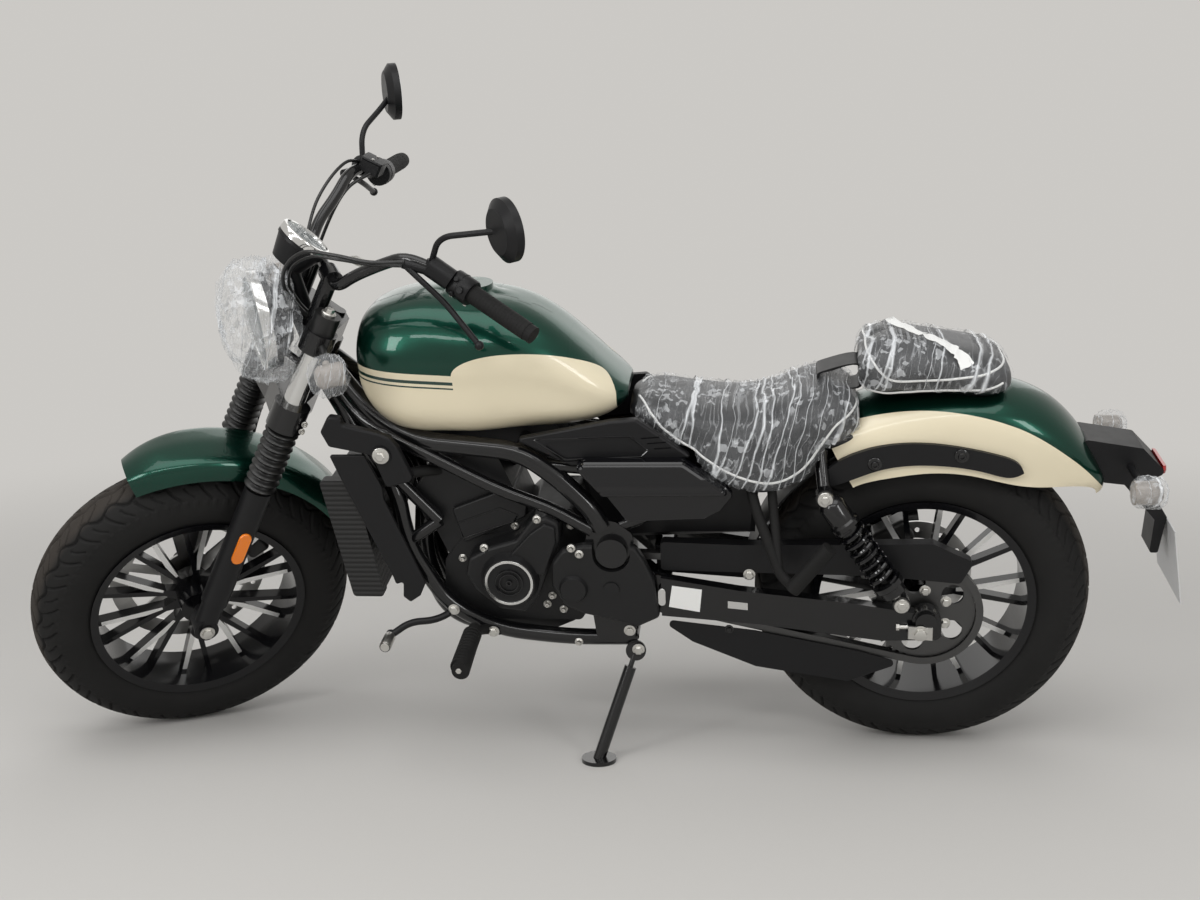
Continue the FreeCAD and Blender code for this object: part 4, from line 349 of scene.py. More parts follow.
def tank_stripes(paint):
    x, z = bike_plane(paint)
    below = tank_line(x) - z
    lines = (abs(below - 16.5) < 3.3) + (abs(below - 27.0) < 1.6)
    return lines * (x > TANK_NOSE - 1.0)


def fender_cream(paint):
    """Cream on the fender's sides, under an arch about the axle."""
    x, z = bike_plane(paint)
    up = z - REAR_AXLE_HEIGHT
    side = abs(paint.along(LEFT, REAR_HUB) * IN_MM)
    radius = (x * x + up * up) ** 0.5
    return (radius < x.step(-260.0, -150.0) * 4.5 + 404.0) * (side > 30.0)


def make_satin_black():
    paint = Finish("satin_black", (0.0045, 0.0045, 0.005), specular_ior_level=0.25, coat_weight=0.6,
                   coat_roughness=0.07)
    return paint.set("Roughness", paint.noise(30.0) * 0.08 + 0.21)


def make_moulded(name, rough=0.42, grain=700.0, colour=(0.007, 0.007, 0.0078)):
    plastic = Finish(name, colour, rough, specular_ior_level=0.28)
    plastic.set("Roughness", plastic.noise(45.0) * 0.12 + (rough - 0.06))
    return plastic.bump(plastic.cells(grain), 0.12, 0.0002)


def make_crowned():
    """Gloss black whose shading bends upwards near the top, as a crowned cover's does."""
    paint = Finish("crowned_gloss", (0.003, 0.003, 0.004), 0.06)
    _, height = bike_plane(paint)
    share = (height - 596.0).maths("DIVIDE", 60.0, clamp=True)
    return paint.bump(share * share * -0.020, 1.0, 1.0)


def make_signal(name, centres):
    """Smoked lamp lens on a black stem."""
    lamp = Finish(name, (0.25, 0.25, 0.26), 0.12)
    left, right = (lamp.away(centre) < 34.0 for centre in centres)
    lens = larger(left, right)
    lamp.set("Base Color", lamp.mix(lens, (0.006, 0.006, 0.006), (0.30, 0.27, 0.24)))
    return lamp.set("Roughness", lens * -0.25 + 0.4)


def make_cast():
    metal = Finish("black_casting", (0.0075, 0.0075, 0.008), 0.44, 0.0, specular_ior_level=0.34)
    metal.set("Roughness", metal.noise(70.0) * 0.16 + 0.36)
    return metal.bump(metal.noise(650.0, 4.0), 0.18, 0.0003)


def make_fork_tube():
    """Bright tube between the yokes and the boots, black above the lower yoke."""
    bright = (0.7, 0.7, 0.69)
    tube = Finish("fork_tube", bright, 0.14, 1.0)
    above = tube.along(STEER, HEAD) * IN_MM > 60.0
    tube.set("Base Color", tube.mix(above, bright, (0.006, 0.006, 0.006)))
    tube.set("Metallic", 1 - above)
    return tube.set("Roughness", above * 0.2 + 0.14)


def make_metal(name, colour, rough, spread=0.1):
    metal = Finish(name, colour, rough, 1.0)
    return metal.set("Roughness", metal.noise(140.0) * spread + (rough - spread / 2))


def make_rubber(name, hub=None, crown=0.0):
    """Matt black rubber; on a tyre the crown's blocks are dusty brown and the grooves stay black."""
    rubber = Finish(name, (0.010, 0.010, 0.010), 0.7, specular_ior_level=0.22)
    cloud = rubber.noise(14.0, 4.0)
    colour = rubber.mix(cloud, (0.006, 0.006, 0.006), (0.016, 0.0155, 0.015))
    if hub is not None:
        worn = (rubber.away(hub) - crown).step(-12.0, -3.0) * (0.5 + cloud * 0.5)
        colour = rubber.mix(worn, colour, (0.046, 0.039, 0.033))
    rubber.set("Base Color", colour)
    rubber.set("Roughness", cloud * 0.2 + 0.6)
    return rubber.bump(rubber.noise(800.0, 2.0), 0.15, 0.0003)


def make_film(name, run, pleats, haze, glint_threshold):
    """Clear film: next to nothing in its flats, with painted highlights as opaque white along long pleats and
    fine hairlines and on small facets where crumpled; the same lines also bump the surface.
    """
    clear = Finish(name, (0.84, 0.86, 0.88), 0.14)
    u, v = clear.along(run), clear.along(UP)
    bend = clear.noise(7.0, 2.0) - 0.5

    def lines(density, slow, seed, thin, sway):
        place = clear.node("ShaderNodeCombineXYZ", {}, u * density + bend * sway, v * slow, seed)
        return (1 - abs(clear.noise(1.0, 1.0, 0.4, place) - 0.5) * thin).step(0.0, 1.0)

    # Painted highlights: the fold lines and hairlines turn the film opaque white, in place of lamp light
    # caught along its pleats; they also give the bump.
    fold_bump_and_highlight = lines(pleats, 1.6, 1.0, 44.0, 0.9)
    hairline_bump_and_highlight = lines(pleats * 3.2, 24.0, 4.0, 26.0, 1.6)
    shift = clear.node("ShaderNodeCombineXYZ", {}, bend * 0.05, bend * 0.03, bend * 0.04)
    warp = clear.node("ShaderNodeVectorMath", {"operation": "ADD"}, clear.point(), shift)
    # Painted glints: some of the facets in crumpled patches turn opaque white, and the crumpled patches
    # themselves a little whiter.
    facet = clear.node("ShaderNodeTexVoronoi", {"feature": "F1"}, out="Color", Vector=warp, Scale=95.0)
    crumpled = clear.noise(12.0, 2.0).step(0.47, 0.55)
    glint = (clear.node("ShaderNodeSeparateColor", {}, facet) > glint_threshold) * crumpled
    painted_highlight_alpha = fold_bump_and_highlight * 0.66 + hairline_bump_and_highlight * 0.20 + glint * 0.30 + crumpled * 0.03 + haze
    clear.set("Alpha", painted_highlight_alpha.maths("MINIMUM", 0.9))
    return clear.bump(fold_bump_and_highlight + hairline_bump_and_highlight * 0.5 + glint * 0.4, 0.7, 0.003)


def make_wheel(name, hub, axle):
    """Gloss black, with bright turned faces on every other spoke."""
    black = (0.004, 0.004, 0.005)
    paint = Finish(name, black, 0.12, 0.0, specular_ior_level=0.4)
    side = paint.along(axle, hub) * IN_MM
    reach = paint.away(hub)
    radius = (reach * reach - side * side) ** 0.5
    normal = paint.node("ShaderNodeTexCoord", {}, out="Normal")
    facing = abs(paint.vector("DOT_PRODUCT", normal, tuple(axle)))
    one, two = across(axle)
    angle = paint.along(one, hub).maths("ARCTAN2", paint.along(two, hub))
    turned = (angle * 10.0).wave() > 0.0
    bright = (facing > 0.93) * (radius > 70.0) * (radius < 192.0) * (abs(side) < 40.0) * turned
    paint.set("Base Color", paint.mix(bright, black, (0.86, 0.86, 0.85)))
    paint.set("Metallic", bright * 0.75)
    return paint.set("Roughness", bright * 0.18 + 0.16)


def make_core():
    """Radiator core: fine dark fins between flat tubes."""
    core = Finish("radiator_core", (0.02, 0.02, 0.021), 0.45, 0.4)
    fins = (core.along(LEFT) * 2400.0).wave()
    tubes = (core.along(UP) * 620.0).wave()
    light = fins * 0.25 + tubes * 0.25 + 0.4
    core.set("Base Color", core.mix(light, (0.008, 0.008, 0.008), (0.05, 0.05, 0.05)))
    return core.bump(fins * 0.5 + tubes, 0.5, 0.001)


# Studio

PALE = (0.60, 0.585, 0.56)
FLOOR_REACH = 14.0
LAMPS = (("overhead", (0.2, 1.2, 3.4), (4.4, 2.0), 52.0),
         ("strip", (0.3, 3.3, 2.7), (3.2, 0.35), 24.0),
         ("front_side", (2.6, 3.0, 1.9), (0.7, 1.6), 30.0),
         ("rear_side", (-2.8, 3.0, 1.8), (0.6, 1.6), 26.0),
         ("behind", (0.0, -3.4, 2.4), (5.0, 2.4), 26.0))


def seen_only(tree):
    """1 for rays that see the background itself: camera, mirror-like and through-going ones."""
    path = tree.nodes.new("ShaderNodeLightPath")
    value = path.outputs["Is Camera Ray"]
    for name in ("Is Glossy Ray", "Is Transmission Ray"):
        both = tree.nodes.new("ShaderNodeMath")
        both.operation = "MAXIMUM"
        tree.links.new(value, both.inputs[0])
        tree.links.new(path.outputs[name], both.inputs[1])
        value = both.outputs[0]
    return value


def blend(tree, factor, first, second, end):
    """Mixes two shaders into the tree's end."""
    mix = tree.nodes.new("ShaderNodeMixShader")
    for link, socket in zip((factor, first, second), mix.inputs):
        tree.links.new(link, socket)
    tree.links.new(mix.outputs[0], end.inputs[0])


def make_world():
    """Even light all round; rays that see the background itself get the pale colour."""
    world = bpy.data.worlds.new("studio")
    bpy.context.scene.world = world
    world.use_nodes = True
    tree = world.node_tree
    tree.nodes.clear()
    skies = []
    for colour, strength in (((1, 1, 1), 0.42), (PALE, 1.0)):
        sky = tree.nodes.new("ShaderNodeBackground")
        sky.inputs[0].default_value, sky.inputs[1].default_value = colour + (1,), strength
        skies.append(sky.outputs[0])
    blend(tree, seen_only(tree), *skies, tree.nodes.new("ShaderNodeOutputWorld"))


def make_floor():
    """A wide pale floor that fades into the background."""
    finish = Finish("studio_floor", PALE, 0.9)
    glow = finish.tree.nodes.new("ShaderNodeEmission")
    glow.inputs[0].default_value = PALE + (1,)
    fade = finish.vector("LENGTH", finish.point()).step(1.5, 4.2) * Socket(finish, seen_only(finish.tree))
    blend(finish.tree, fade.link, finish.shader.outputs[0], glow.outputs[0], finish.end)
    mesh = bpy.data.meshes.new("studio_floor")
    corners = ((-1, -1), (1, -1), (1, 1), (-1, 1))
    mesh.from_pydata([(x * FLOOR_REACH, y * FLOOR_REACH, 0) for x, y in corners], [], [(0, 1, 2, 3)])
    mesh.materials.append(finish.material)
    floor = bpy.data.objects.new("studio_floor", mesh)
    bpy.context.scene.collection.objects.link(floor)


def make_lamps():
    """Soft area lamps that look at the machine's middle."""
    for name, place, size, power in LAMPS:
        data = bpy.data.lights.new(name, "AREA")
        data.shape, data.size, data.size_y, data.energy = "RECTANGLE", size[0], size[1], power
        lamp = bpy.data.objects.new(name, data)
        lamp.location = place
        lamp.rotation_mode = "QUATERNION"
        lamp.rotation_quaternion = (Vector((0, 0, 0.6)) - Vector(place)).to_track_quat("-Z", "Y")
        bpy.context.scene.collection.objects.link(lamp)


# Mesh helpers

LEAST = 0.01


def across(axis):
    """Two unit vectors square to an axis and to each other."""
    axis = axis.normalized()
    first = axis.cross(Vector((0, 0, 1)))
    if first.length < 0.1:
        first = axis.cross(Vector((1, 0, 0)))
    first.normalize()
    return first, axis.cross(first)


def circle(axis, sides):
    """Unit vectors square to an axis, all the way round it."""
    one, two = across(axis)
    return [one * math.cos(t) + two * math.sin(t) for t in (2 * math.pi * k / sides for k in range(sides))]


def curve_through(points, steps):
    """A smooth line through the points, with so many steps in each span."""
    points = [Vector(p) for p in points]
    line = []
    for i in range(len(points) - 1):
        a, b = points[max(i - 1, 0)], points[i]
        c, d = points[i + 1], points[min(i + 2, len(points) - 1)]
        for k in range(steps):
            t = k / steps
            line.append(0.5 * ((2 * b) + (c - a) * t + (2 * a - 5 * b + 4 * c - d) * t * t
                               + (3 * b - a - 3 * c + d) * t ** 3))
    return line + [points[-1]]


class Build:
    """Turned, swept and cut forms gathered into one mesh. Sizes are in millimetres, points in metres."""

    def __init__(self):
        self.verts, self.faces = [], []

    def add(self, verts, faces):
        base = len(self.verts)
        self.verts += [Vector(v) for v in verts]
        self.faces += [tuple(base + i for i in face) for face in faces]
        return self

    def rings(self, rows, closed=False, caps=True):
        """Faces between rows of points of equal count; caps fill the first and last rows."""
        count = len(rows[0])
        faces = []
        last = len(rows) if closed else len(rows) - 1
        for i in range(last):
            a, b = i * count, (i + 1) % len(rows) * count
            faces += [(a + k, a + (k + 1) % count, b + (k + 1) % count, b + k) for k in range(count)]
        if caps and not closed:
            faces.append(tuple(range(count))[::-1])
            faces.append(tuple((len(rows) - 1) * count + k for k in range(count)))
        return self.add([p for row in rows for p in row], faces)

    def turned(self, base, axis, profile, sides=32, caps=True):
        """Radius and height pairs turned about an axis."""
        axis = axis.normalized()
        ring = circle(axis, sides)
        return self.rings([[base + axis * (height * MM) + way * (max(radius, LEAST) * MM) for way in ring]
                           for radius, height in profile], caps=caps)

    def tube(self, line, radius, sides=10, closed=False):
        """A round bar along a line."""
        count = len(line)
        side = None
        rows = []
        for i, point in enumerate(line):
            before = line[i - 1] if i or closed else point
            after = line[(i + 1) % count] if i < count - 1 or closed else point
            way = (after - before).normalized()
            side = across(way)[0] if side is None else (side - way * side.dot(way)).normalized()
            other = way.cross(side)
            rows.append([point + (side * math.cos(t) + other * math.sin(t)) * (radius * MM)
                         for t in (2 * math.pi * k / sides for k in range(sides))])
        return self.rings(rows, closed)

    def plate(self, outline, way, thick, edge=0.0):
        """A flat plate from its outline points, thick along a direction, with its far edge bevelled."""
        way = way.normalized()
        middle = sum(outline, Vector()) / len(outline)
        rows = [outline]
        if edge:
            rows.append([p + way * ((thick - edge) * MM) for p in outline])
            rows.append([p + (middle - p).normalized() * (edge * MM) + way * (thick * MM) for p in outline])
        else:
            rows.append([p + way * (thick * MM) for p in outline])
        return self.rings(rows)

    def bolt(self, place, way, radius, height, kind="hex"):
        """A bolt head on a washer: six-sided, or round with a socket."""
        self.turned(place, way, [(radius * 1.35, -1.0), (radius * 1.35, 1.0), (radius * 1.2, 1.6)], 24)
        if kind == "hex":
            head, sides = [(radius, 1.0), (radius, height - 1.0), (radius * 0.86, height)], 6
        else:
            head, sides = [(radius, 1.0), (radius, height - 1.5), (radius * 0.85, height),
                           (radius * 0.52, height), (radius * 0.5, height - 2.5)], 20
        return self.turned(place, way, head, sides)

    def done(self, name, finish, body, sharp=38.0, slot=None):
        made = piece(name, self.verts, self.faces, finish, body)
        made.data.set_sharp_from_angle(angle=math.radians(sharp))
        return made


def piece(name, verts, faces, finish, body):
    mesh = bpy.data.meshes.new(name)
    mesh.from_pydata([tuple(v) for v in verts], [], faces)
    mesh.polygons.foreach_set("use_smooth", [True] * len(mesh.polygons))
    made = bpy.data.objects.new(name, mesh)
    bpy.context.scene.collection.objects.link(made)
    mesh.materials.append(finish.material)
    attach(made, body)
    return made


# Tyres

BEAD_RADIUS = 207.0
TREAD_HALF = 78.0
TREAD_PITCH = 66.0
GROOVE_DEPTH = 5.2
SIDE_RIB, SIDE_RING = 1.4, 1.0
ROUND_STEPS = 900


def tyre_section(radius, width):
    """The outer line of half a tyre from crown to bead, as radius and station."""
    crown, tall = width / 2, radius - BEAD_RADIUS
    half = [(radius, 0.0), (radius - 0.4, 0.19 * crown), (radius - 0.17 * crown, 0.56 * crown),
            (radius - 0.53 * crown, 0.88 * crown), (BEAD_RADIUS + 0.44 * tall, 0.985 * crown),
            (BEAD_RADIUS + 0.24 * tall, 0.95 * crown), (BEAD_RADIUS + 5.0, 0.80 * crown)]
    return curve_through([(r, s, 0) for r, s in half], 40)


def tyre_line(radius, width):
    """The section from bead to bead: radius, station and way walked from the crown, finer on the tread."""
    section = tyre_section(radius, width)
    half, walked = [(section[0][0], section[0][1], 0.0)], 0.0
    for a, b in zip(section, section[1:]):
        walked += (b - a).length
        step = 2.1 if walked < 84.0 else 9.0
        if walked - half[-1][2] >= step or b is section[-1]:
            half.append((b[0], b[1], walked))
    return np.array([(r, -s, -v) for r, s, v in half[:0:-1]] + half).T


def tread_depth(u, v, pitch):
    """Depth of the tread's grooves, 0 to 1, by the way round and the way across in millimetres."""
    side = np.abs(v)
    phase = u / pitch + np.where(v > 0, 0.5, 0.0)

    def groove(distance, half_width):
        return np.clip((half_width - np.abs(distance)) / 2.2, 0.0, 1.0)

    def cross(start, end, lead, bend, half_width):
        share = np.clip((side - start) / (end - start), 0.0, 1.0)
        away = (phase - lead - bend * share ** 1.6 + 0.5) % 1.0 - 0.5
        inside = np.clip(np.minimum(side - start, end - side) / 2.0 + 1.0, 0.0, 1.0)
        return groove(away * pitch, half_width) * inside

    swing = np.abs((u / pitch * 2.0) % 2.0 - 1.0) - 0.5
    deep = groove(v - swing * 11.0, 3.6)
    deep = np.maximum(deep, groove(side - 37.0 - 8.0 * np.sin(2 * np.pi * phase), 3.4))
    deep = np.maximum(deep, cross(7.0, 31.0, 0.15, 0.42, 3.0))
    deep = np.maximum(deep, cross(12.0, 27.0, 0.62, 0.30, 2.2))
    deep = np.maximum(deep, cross(44.0, 78.0, 0.05, -0.38, 3.4))
    deep = np.maximum(deep, cross(50.0, 72.0, 0.55, -0.30, 2.4))
    return deep


def tyre_rise(angle, v, radius):
    """How far the skin stands off its section: grooves, ribs on the shoulder and a ring on the side wall."""
    u = angle[:, None] * radius
    pitches = round(2 * np.pi * radius / TREAD_PITCH)
    deep = tread_depth(u + 0 * v, v + 0 * u, 2 * np.pi * radius / pitches)
    side = np.abs(v) - TREAD_HALF
    shoulder = (side > 2) & (side < 14)
    ribs = (u * pitches / (2 * np.pi * radius) * 3.0) % 1.0 < 0.45
    rise = np.where(shoulder & ribs, SIDE_RIB, -GROOVE_DEPTH * deep)
    rise = rise + (np.abs(side - 38) < 3.0) * SIDE_RING
    return np.where(side > 60, 0.0, rise)


def tyre(name, node, hub, axle, radius, width, body):
    """A treaded tyre, drawn in under its tread until it rests on the ground."""
    r, s, v = tyre_line(radius, width)
    slope_r, slope_s = np.gradient(r), np.gradient(s)
    size = np.hypot(slope_r, slope_s)
    sink = (r * math.sqrt(1 - axle.z * axle.z) - s * axle.z).max() - hub.z / MM
    angle = np.arange(ROUND_STEPS) * 2 * np.pi / ROUND_STEPS
    rise = tyre_rise(angle, v, radius) - sink * (np.abs(v) < TREAD_HALF + 10)
    reach, station = (r + slope_s / size * rise) * MM, (s - slope_r / size * rise) * MM
    one, two = across(axle)
    spoke = np.cos(angle)[:, None] * np.array(one) + np.sin(angle)[:, None] * np.array(two)
    verts = np.array(hub) + reach[:, :, None] * spoke[:, None, :] + station[:, :, None] * np.array(axle)
    start = (np.arange(ROUND_STEPS) * len(v))[:, None] + np.arange(len(v) - 1)
    after = (start + len(v)) % (ROUND_STEPS * len(v))
    faces = np.stack([start, start + 1, after + 1, after], -1).reshape(-1, 4)
    finish = make_rubber(node + "_rubber", hub, radius)
    made = piece(name, verts.reshape(-1, 3).tolist(), faces.tolist(), finish, body)
    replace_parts(made, node)


# Shocks and boots

COIL_RADIUS, COIL_WIRE, COIL_TURNS = 23.8, 4.4, 8
BOOT_RIBS, BOOT_LOW, BOOT_HIGH = 9, -256.0, -116.0


def coil(top, line, begin, end):
    """The spring's helix between two distances from the shock's top."""
    one, other = across(line)
    helix = []
    for k in range(COIL_TURNS * 20 + 1):
        share = k / (COIL_TURNS * 20)
        t = 2 * math.pi * COIL_TURNS * share
        reach = (one * math.cos(t) + other * math.sin(t)) * (COIL_RADIUS * MM)
        helix.append(top + line * ((begin + (end - begin) * share) * MM) + reach)
    return helix


def shocks():
    """Damper bodies with their eyes, the springs, and the bolts through the eyes."""
    bodies, springs, bright = Build(), Build(), Build()
    for side in SIDES:
        top, low = bike(193, 152 * side, 587), bike(50, 160 * side, 375)
        line, out = (low - top).normalized(), LEFT * side
        length = (low - top).length / MM
        for point in (top, low):
            bodies.turned(point - out * (13 * MM), out, [(17, 0), (17, 26)], 28)
            bright.turned(point + out * (13 * MM), out, [(15, 0), (15, 5), (13.5, 7)], 32)
            bright.bolt(point + out * (19 * MM), out, 8.5, 5.0)
        upper = [(12, 8), (20, 12), (25, 22), (25, 58), (29, 62), (29, 70), (22, 72)]
        lower = [(20, -52), (30, -50), (30, -40), (24, -36), (24, -22), (14, -12)]
        bodies.turned(top, line, upper, 32)
        bodies.turned(top, line, [(19, 60), (19, 92), (11, 96), (11, length - 12)], 24)
        bodies.turned(top, line, [(radius, length + height) for radius, height in lower], 32)
        springs.tube(coil(top, line, 72.0, length - 52.0), COIL_WIRE, 8)
    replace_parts(bodies.done("shock_bodies", satin, "frame", slot="black_frame"), "shock_absorbers")
    springs.done("shock_springs", gloss, "frame", slot="gloss_black_plastic")
    bright.done("shock_bolts", steel_part, "frame", slot="steel")


def fork_boots():
    """Ribbed rubber boots on both fork legs."""
    boots = Build()
    profile = [(20.6, BOOT_LOW - 2)]
    for k in range(BOOT_RIBS * 8 + 1):
        share = k / (BOOT_RIBS * 8)
        radius = 28.6 + 4.2 * math.cos(2 * math.pi * BOOT_RIBS * share + math.pi)
        profile.append((radius, BOOT_LOW + (BOOT_HIGH - BOOT_LOW) * share))
    profile += [(26, BOOT_HIGH + 2), (20.6, BOOT_HIGH + 3)]
    for side in SIDES:
        boots.turned(fork(LEG_AHEAD, LEG_SIDE * side, 0), STEER, profile, 36, caps=False)
    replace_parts(boots.done("ribbed_boots", boot_rubber, "fork", 60.0, "rubber"), "fork_boots")


# Cushions and film

CUSHION_VOXEL = 0.0055
PUFF_MOST = 0.004
PUFF_FRAMES = 20
SKIRT_TOP, SKIRT_RUN = 715.0, 70.0
FILM_LIFT = 3.0
CREASE_SEED = 1795826286


def evened(node, name, finish):
    """A copy of a seat's solid, made the active object and meshed evenly."""
    made = frame["nodes"][node].copy()
    made.data = made.data.copy()
    made.name = made.data.name = name
    bpy.context.scene.collection.objects.link(made)
    made.data.materials.clear()
    made.data.materials.append(finish.material)
    bpy.context.view_layer.objects.active = made
    for each in bpy.context.selected_objects:
        each.select_set(False)
    made.select_set(True)
    remesh = made.modifiers.new("even", "REMESH")
    remesh.mode, remesh.voxel_size = "VOXEL", CUSHION_VOXEL
    bpy.ops.object.modifier_apply(modifier="even")
    return made


def blow_up(made):
    """Cloth with pressure inside, held to a few millimetres from where it started."""
    start = np.array([v.co for v in made.data.vertices])
    cloth = made.modifiers.new("cloth", "CLOTH")
    cloth.settings.use_pressure = True
    cloth.settings.uniform_pressure_force = 4.0
    cloth.settings.quality = 5
    cloth.settings.effector_weights.gravity = 0.0
    cloth.point_cache.frame_end = PUFF_FRAMES
    for step in range(1, PUFF_FRAMES + 1):
        bpy.context.scene.frame_set(step)
    bpy.ops.object.modifier_apply(modifier="cloth")
    bpy.context.scene.frame_set(1)
    shift = np.array([v.co for v in made.data.vertices]) - start
    size = np.linalg.norm(shift, axis=1, keepdims=True)
    now = start + shift * np.minimum(1.0, PUFF_MOST / np.maximum(size, 1e-9))
    made.data.vertices.foreach_set("co", now.ravel())


def puffed(node, name, finish, skirt):
    """A cushion: the solid's skin blown up a little as cloth and smoothed, with its skirt drawn down."""
    made = evened(node, name, finish)
    for vert in made.data.vertices:
        share = (SKIRT_TOP - height_of(vert.co)) / SKIRT_RUN
        vert.co -= UP * (skirt * min(1.0, max(0.0, share)) * MM)
    blow_up(made)
    smooth = made.modifiers.new("smooth", "SMOOTH")
    smooth.iterations, smooth.factor = 6, 0.5
    bpy.ops.object.modifier_apply(modifier="smooth")
    made.data.polygons.foreach_set("use_smooth", [True] * len(made.data.polygons))
    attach(made, "frame")
    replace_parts(made, node)
    return made


def ridges(point, seed, stretch=1.0):
    """Sharp creases: 1 on a fold, 0 in the flats between."""
    warp = noise.noise_vector(point * 0.6 + Vector((seed, 0, 0)))
    value = noise.noise(Vector((point.x, point.y * stretch, point.z)) + warp * 0.8 + Vector((0, seed, 0)))
    return max(0.0, 1.0 - 3.2 * abs(value)) ** 1.5


def skin(target, centre_line, ends, steps, crease, seed, fold):
    """Rows of film over a cushion: rays cast in from round a line along it, lifted a little and creased."""
    tree = tree_of(target.data)
    rows = []
    for x, z in centre_line:
        middle = bike(x, 0, z)

        def touch(degrees):
            angle = math.radians(degrees)
            way = LEFT * math.cos(angle) + UP * math.sin(angle)
            hit, normal, _, _ = tree.ray_cast(middle + way * 0.4, -way, 0.4)
            return (hit, normal) if hit is not None and normal.dot(UP) > -0.6 else None

        if touch(90.0) is None:
            continue
        low, high = 90.0, 90.0
        while low > ends[0] and touch(low - 2.0):
            low -= 2.0
        while high < ends[1] and touch(high + 2.0):
            high += 2.0
        row = []
        for k in range(steps + 1):
            found = touch(low + (high - low) * k / steps)
            if found is None:
                row.append(row[-1])
                continue
            hit, normal = found
            height = FILM_LIFT + crease * ridges(Vector((x * fold, k * 0.05, 0)), seed)
            row.append(hit + normal * (height * MM))
        rows.append(row)
    return rows


def open_grid(rows):
    count = len(rows[0])
    faces = [(i * count + k, i * count + k + 1, (i + 1) * count + k + 1, (i + 1) * count + k)
             for i in range(len(rows) - 1) for k in range(count - 1)]
    return [p for row in rows for p in row], faces


def wrap(name, rows):
    piece(name, *open_grid(rows), seat_film, "frame")


def seat_wraps():
    """Clear film stretched over both cushions."""
    rider_line = []
    for k in range(121):
        run = 3.5 * k
        rider_line.append((118 + run, 676 - 0.16 * run * (1 - k / 160)))
    wrap("seat_wrap", skin(seat, rider_line, (-50, 230), 110, 5.0, 2.0, 0.12))
    rear_line = [(-150 + 3.5 * k, 790) for k in range(83)]
    wrap("pillion_wrap", skin(pillion, rear_line, (-40, 220), 90, 4.0, 5.0, 0.05))


def bag(name, centre, axis, profile, seed, crease, body, sides):
    """A thin clear bag pulled over a lamp: a turned form, creased all over, open at its neck."""
    axis = axis.normalized()
    ring = circle(axis, sides)
    rows = []
    for radius, height, _ in curve_through([(r, h, 0) for r, h in profile], 9):
        row = []
        for k, way in enumerate(ring):
            t = 2 * math.pi * k / sides
            spot = Vector((math.cos(t) * 2.4, math.sin(t) * 2.4, height * 0.035))
            share = ridges(spot * 1.3, seed, 1.4) * 0.7 + ridges(spot * 2.9, seed + 3.0) * 0.3
            wide = noise.noise(spot * 0.7 + Vector((seed, 0, 0)))
            size = radius * (1 + 0.10 * wide) + crease * (share - 0.3) * min(1.0, radius / 20.0)
            drift = axis * (crease * 0.6 * noise.noise(spot * 1.7 + Vector((0, 0, seed))) * MM)
            row.append(centre + axis * (height * MM) + way * (max(size, 0.5) * MM) + drift)
        rows.append(row)
    made = Build().rings(rows, caps=False).done(name, film, body, 50.0, "lamp")


def lamp_bags():
    """Bags on the headlamp and on all four turn signals."""
    bag("headlamp_bag", LAMP_CENTRE, LAMP_WAY,
        [(1, 70), (44, 66), (84, 52), (108, 26), (114, -12), (106, -42), (82, -64), (60, -72)],
        1.0, 15.0, "fork", 150)
    front = [(1, 38), (20, 34), (33, 22), (38, 2), (35, -18), (24, -30), (15, -34)]
    rear = [(1, 34), (16, 32), (27, 22), (31, 4), (28, -16), (20, -26), (13, -30)]
    for side, word in zip(SIDES, ("left", "right")):
        bag(word + "_front_signal_bag", front_signal_place(side), LAMP_WAY, front, 7.0 + side, 5.0, "fork",
            56)
        bag(word + "_rear_signal_bag", rear_signal_place(side), -AHEAD, rear, 12.0 + side, 4.0, "frame",
            48)


# Seating small parts on the solids

COVER_SCREWS = ((734, 530), (677, 495), (669, 478), (654, 466), (786, 494), (841, 468), (895, 424),
                (721, 343), (732, 324), (700, 313), (669, 256), (607, 221))
FRAME_BOLTS = ((912, 331), (835, 287), (565, 294), (333, 406))


def tree_of(*meshes):
    """A tree of all the meshes' faces, for rays and nearest points."""
    verts, faces = [], []
    for mesh in meshes:
        base = len(verts)
        verts += [v.co.copy() for v in mesh.vertices]
        faces += [tuple(base + i for i in p.vertices) for p in mesh.polygons]
    return BVHTree.FromPolygons(verts, faces)


def nodes_tree(*names):
    return tree_of(*(frame["nodes"][name].data for name in names))


def seated(tree, x, z, side=1, probe=5.0):
    """The outermost hit of rays cast sideways onto the solids in a small circle about a place."""
    outermost = None
    for k in range(9):
        angle = 2 * math.pi * k / 8
        away = 0.0 if k == 8 else probe
        start = bike(x + away * math.cos(angle), 400 * side, z + away * math.sin(angle))
        hit = tree.ray_cast(start, LEFT * -side, 0.4)[0]
        if hit is not None and (outermost is None or left_of(hit) * side > outermost * side):
            outermost = left_of(hit)
    return None if outermost is None else bike(x, outermost, z)


def seats(tree, places, side=1):
    """Those of the places that meet the solids, seated on them."""
    found = (seated(tree, x, z, side) for x, z in places)
    return [place for place in found if place is not None]


def rim_bolts(build, node, side, count, inset, radius, turn):
    """Bolts round the edge of a side cover."""
    tree = nodes_tree(node)
    spots = [v.co for v in frame["nodes"][node].data.vertices]
    xs, zs = [ahead_of(p) for p in spots], [height_of(p) for p in spots]
    x, z = (min(xs) + max(xs)) / 2, (min(zs) + max(zs)) / 2
    for k in range(count):
        angle = 2 * math.pi * (k + turn) / count
        dx, dz = math.cos(angle), math.sin(angle)
        for away in range(220, 10, -3):
            hit = tree.ray_cast(bike(x + away * dx, 400 * side, z + away * dz), LEFT * -side, 0.4)[0]
            if hit is not None:
                place = seated(tree, x + (away - inset) * dx, z + (away - inset) * dz, side, 1.0)
                if place is not None:
                    build.bolt(place, LEFT * side, radius, 6.0, "round")
                break


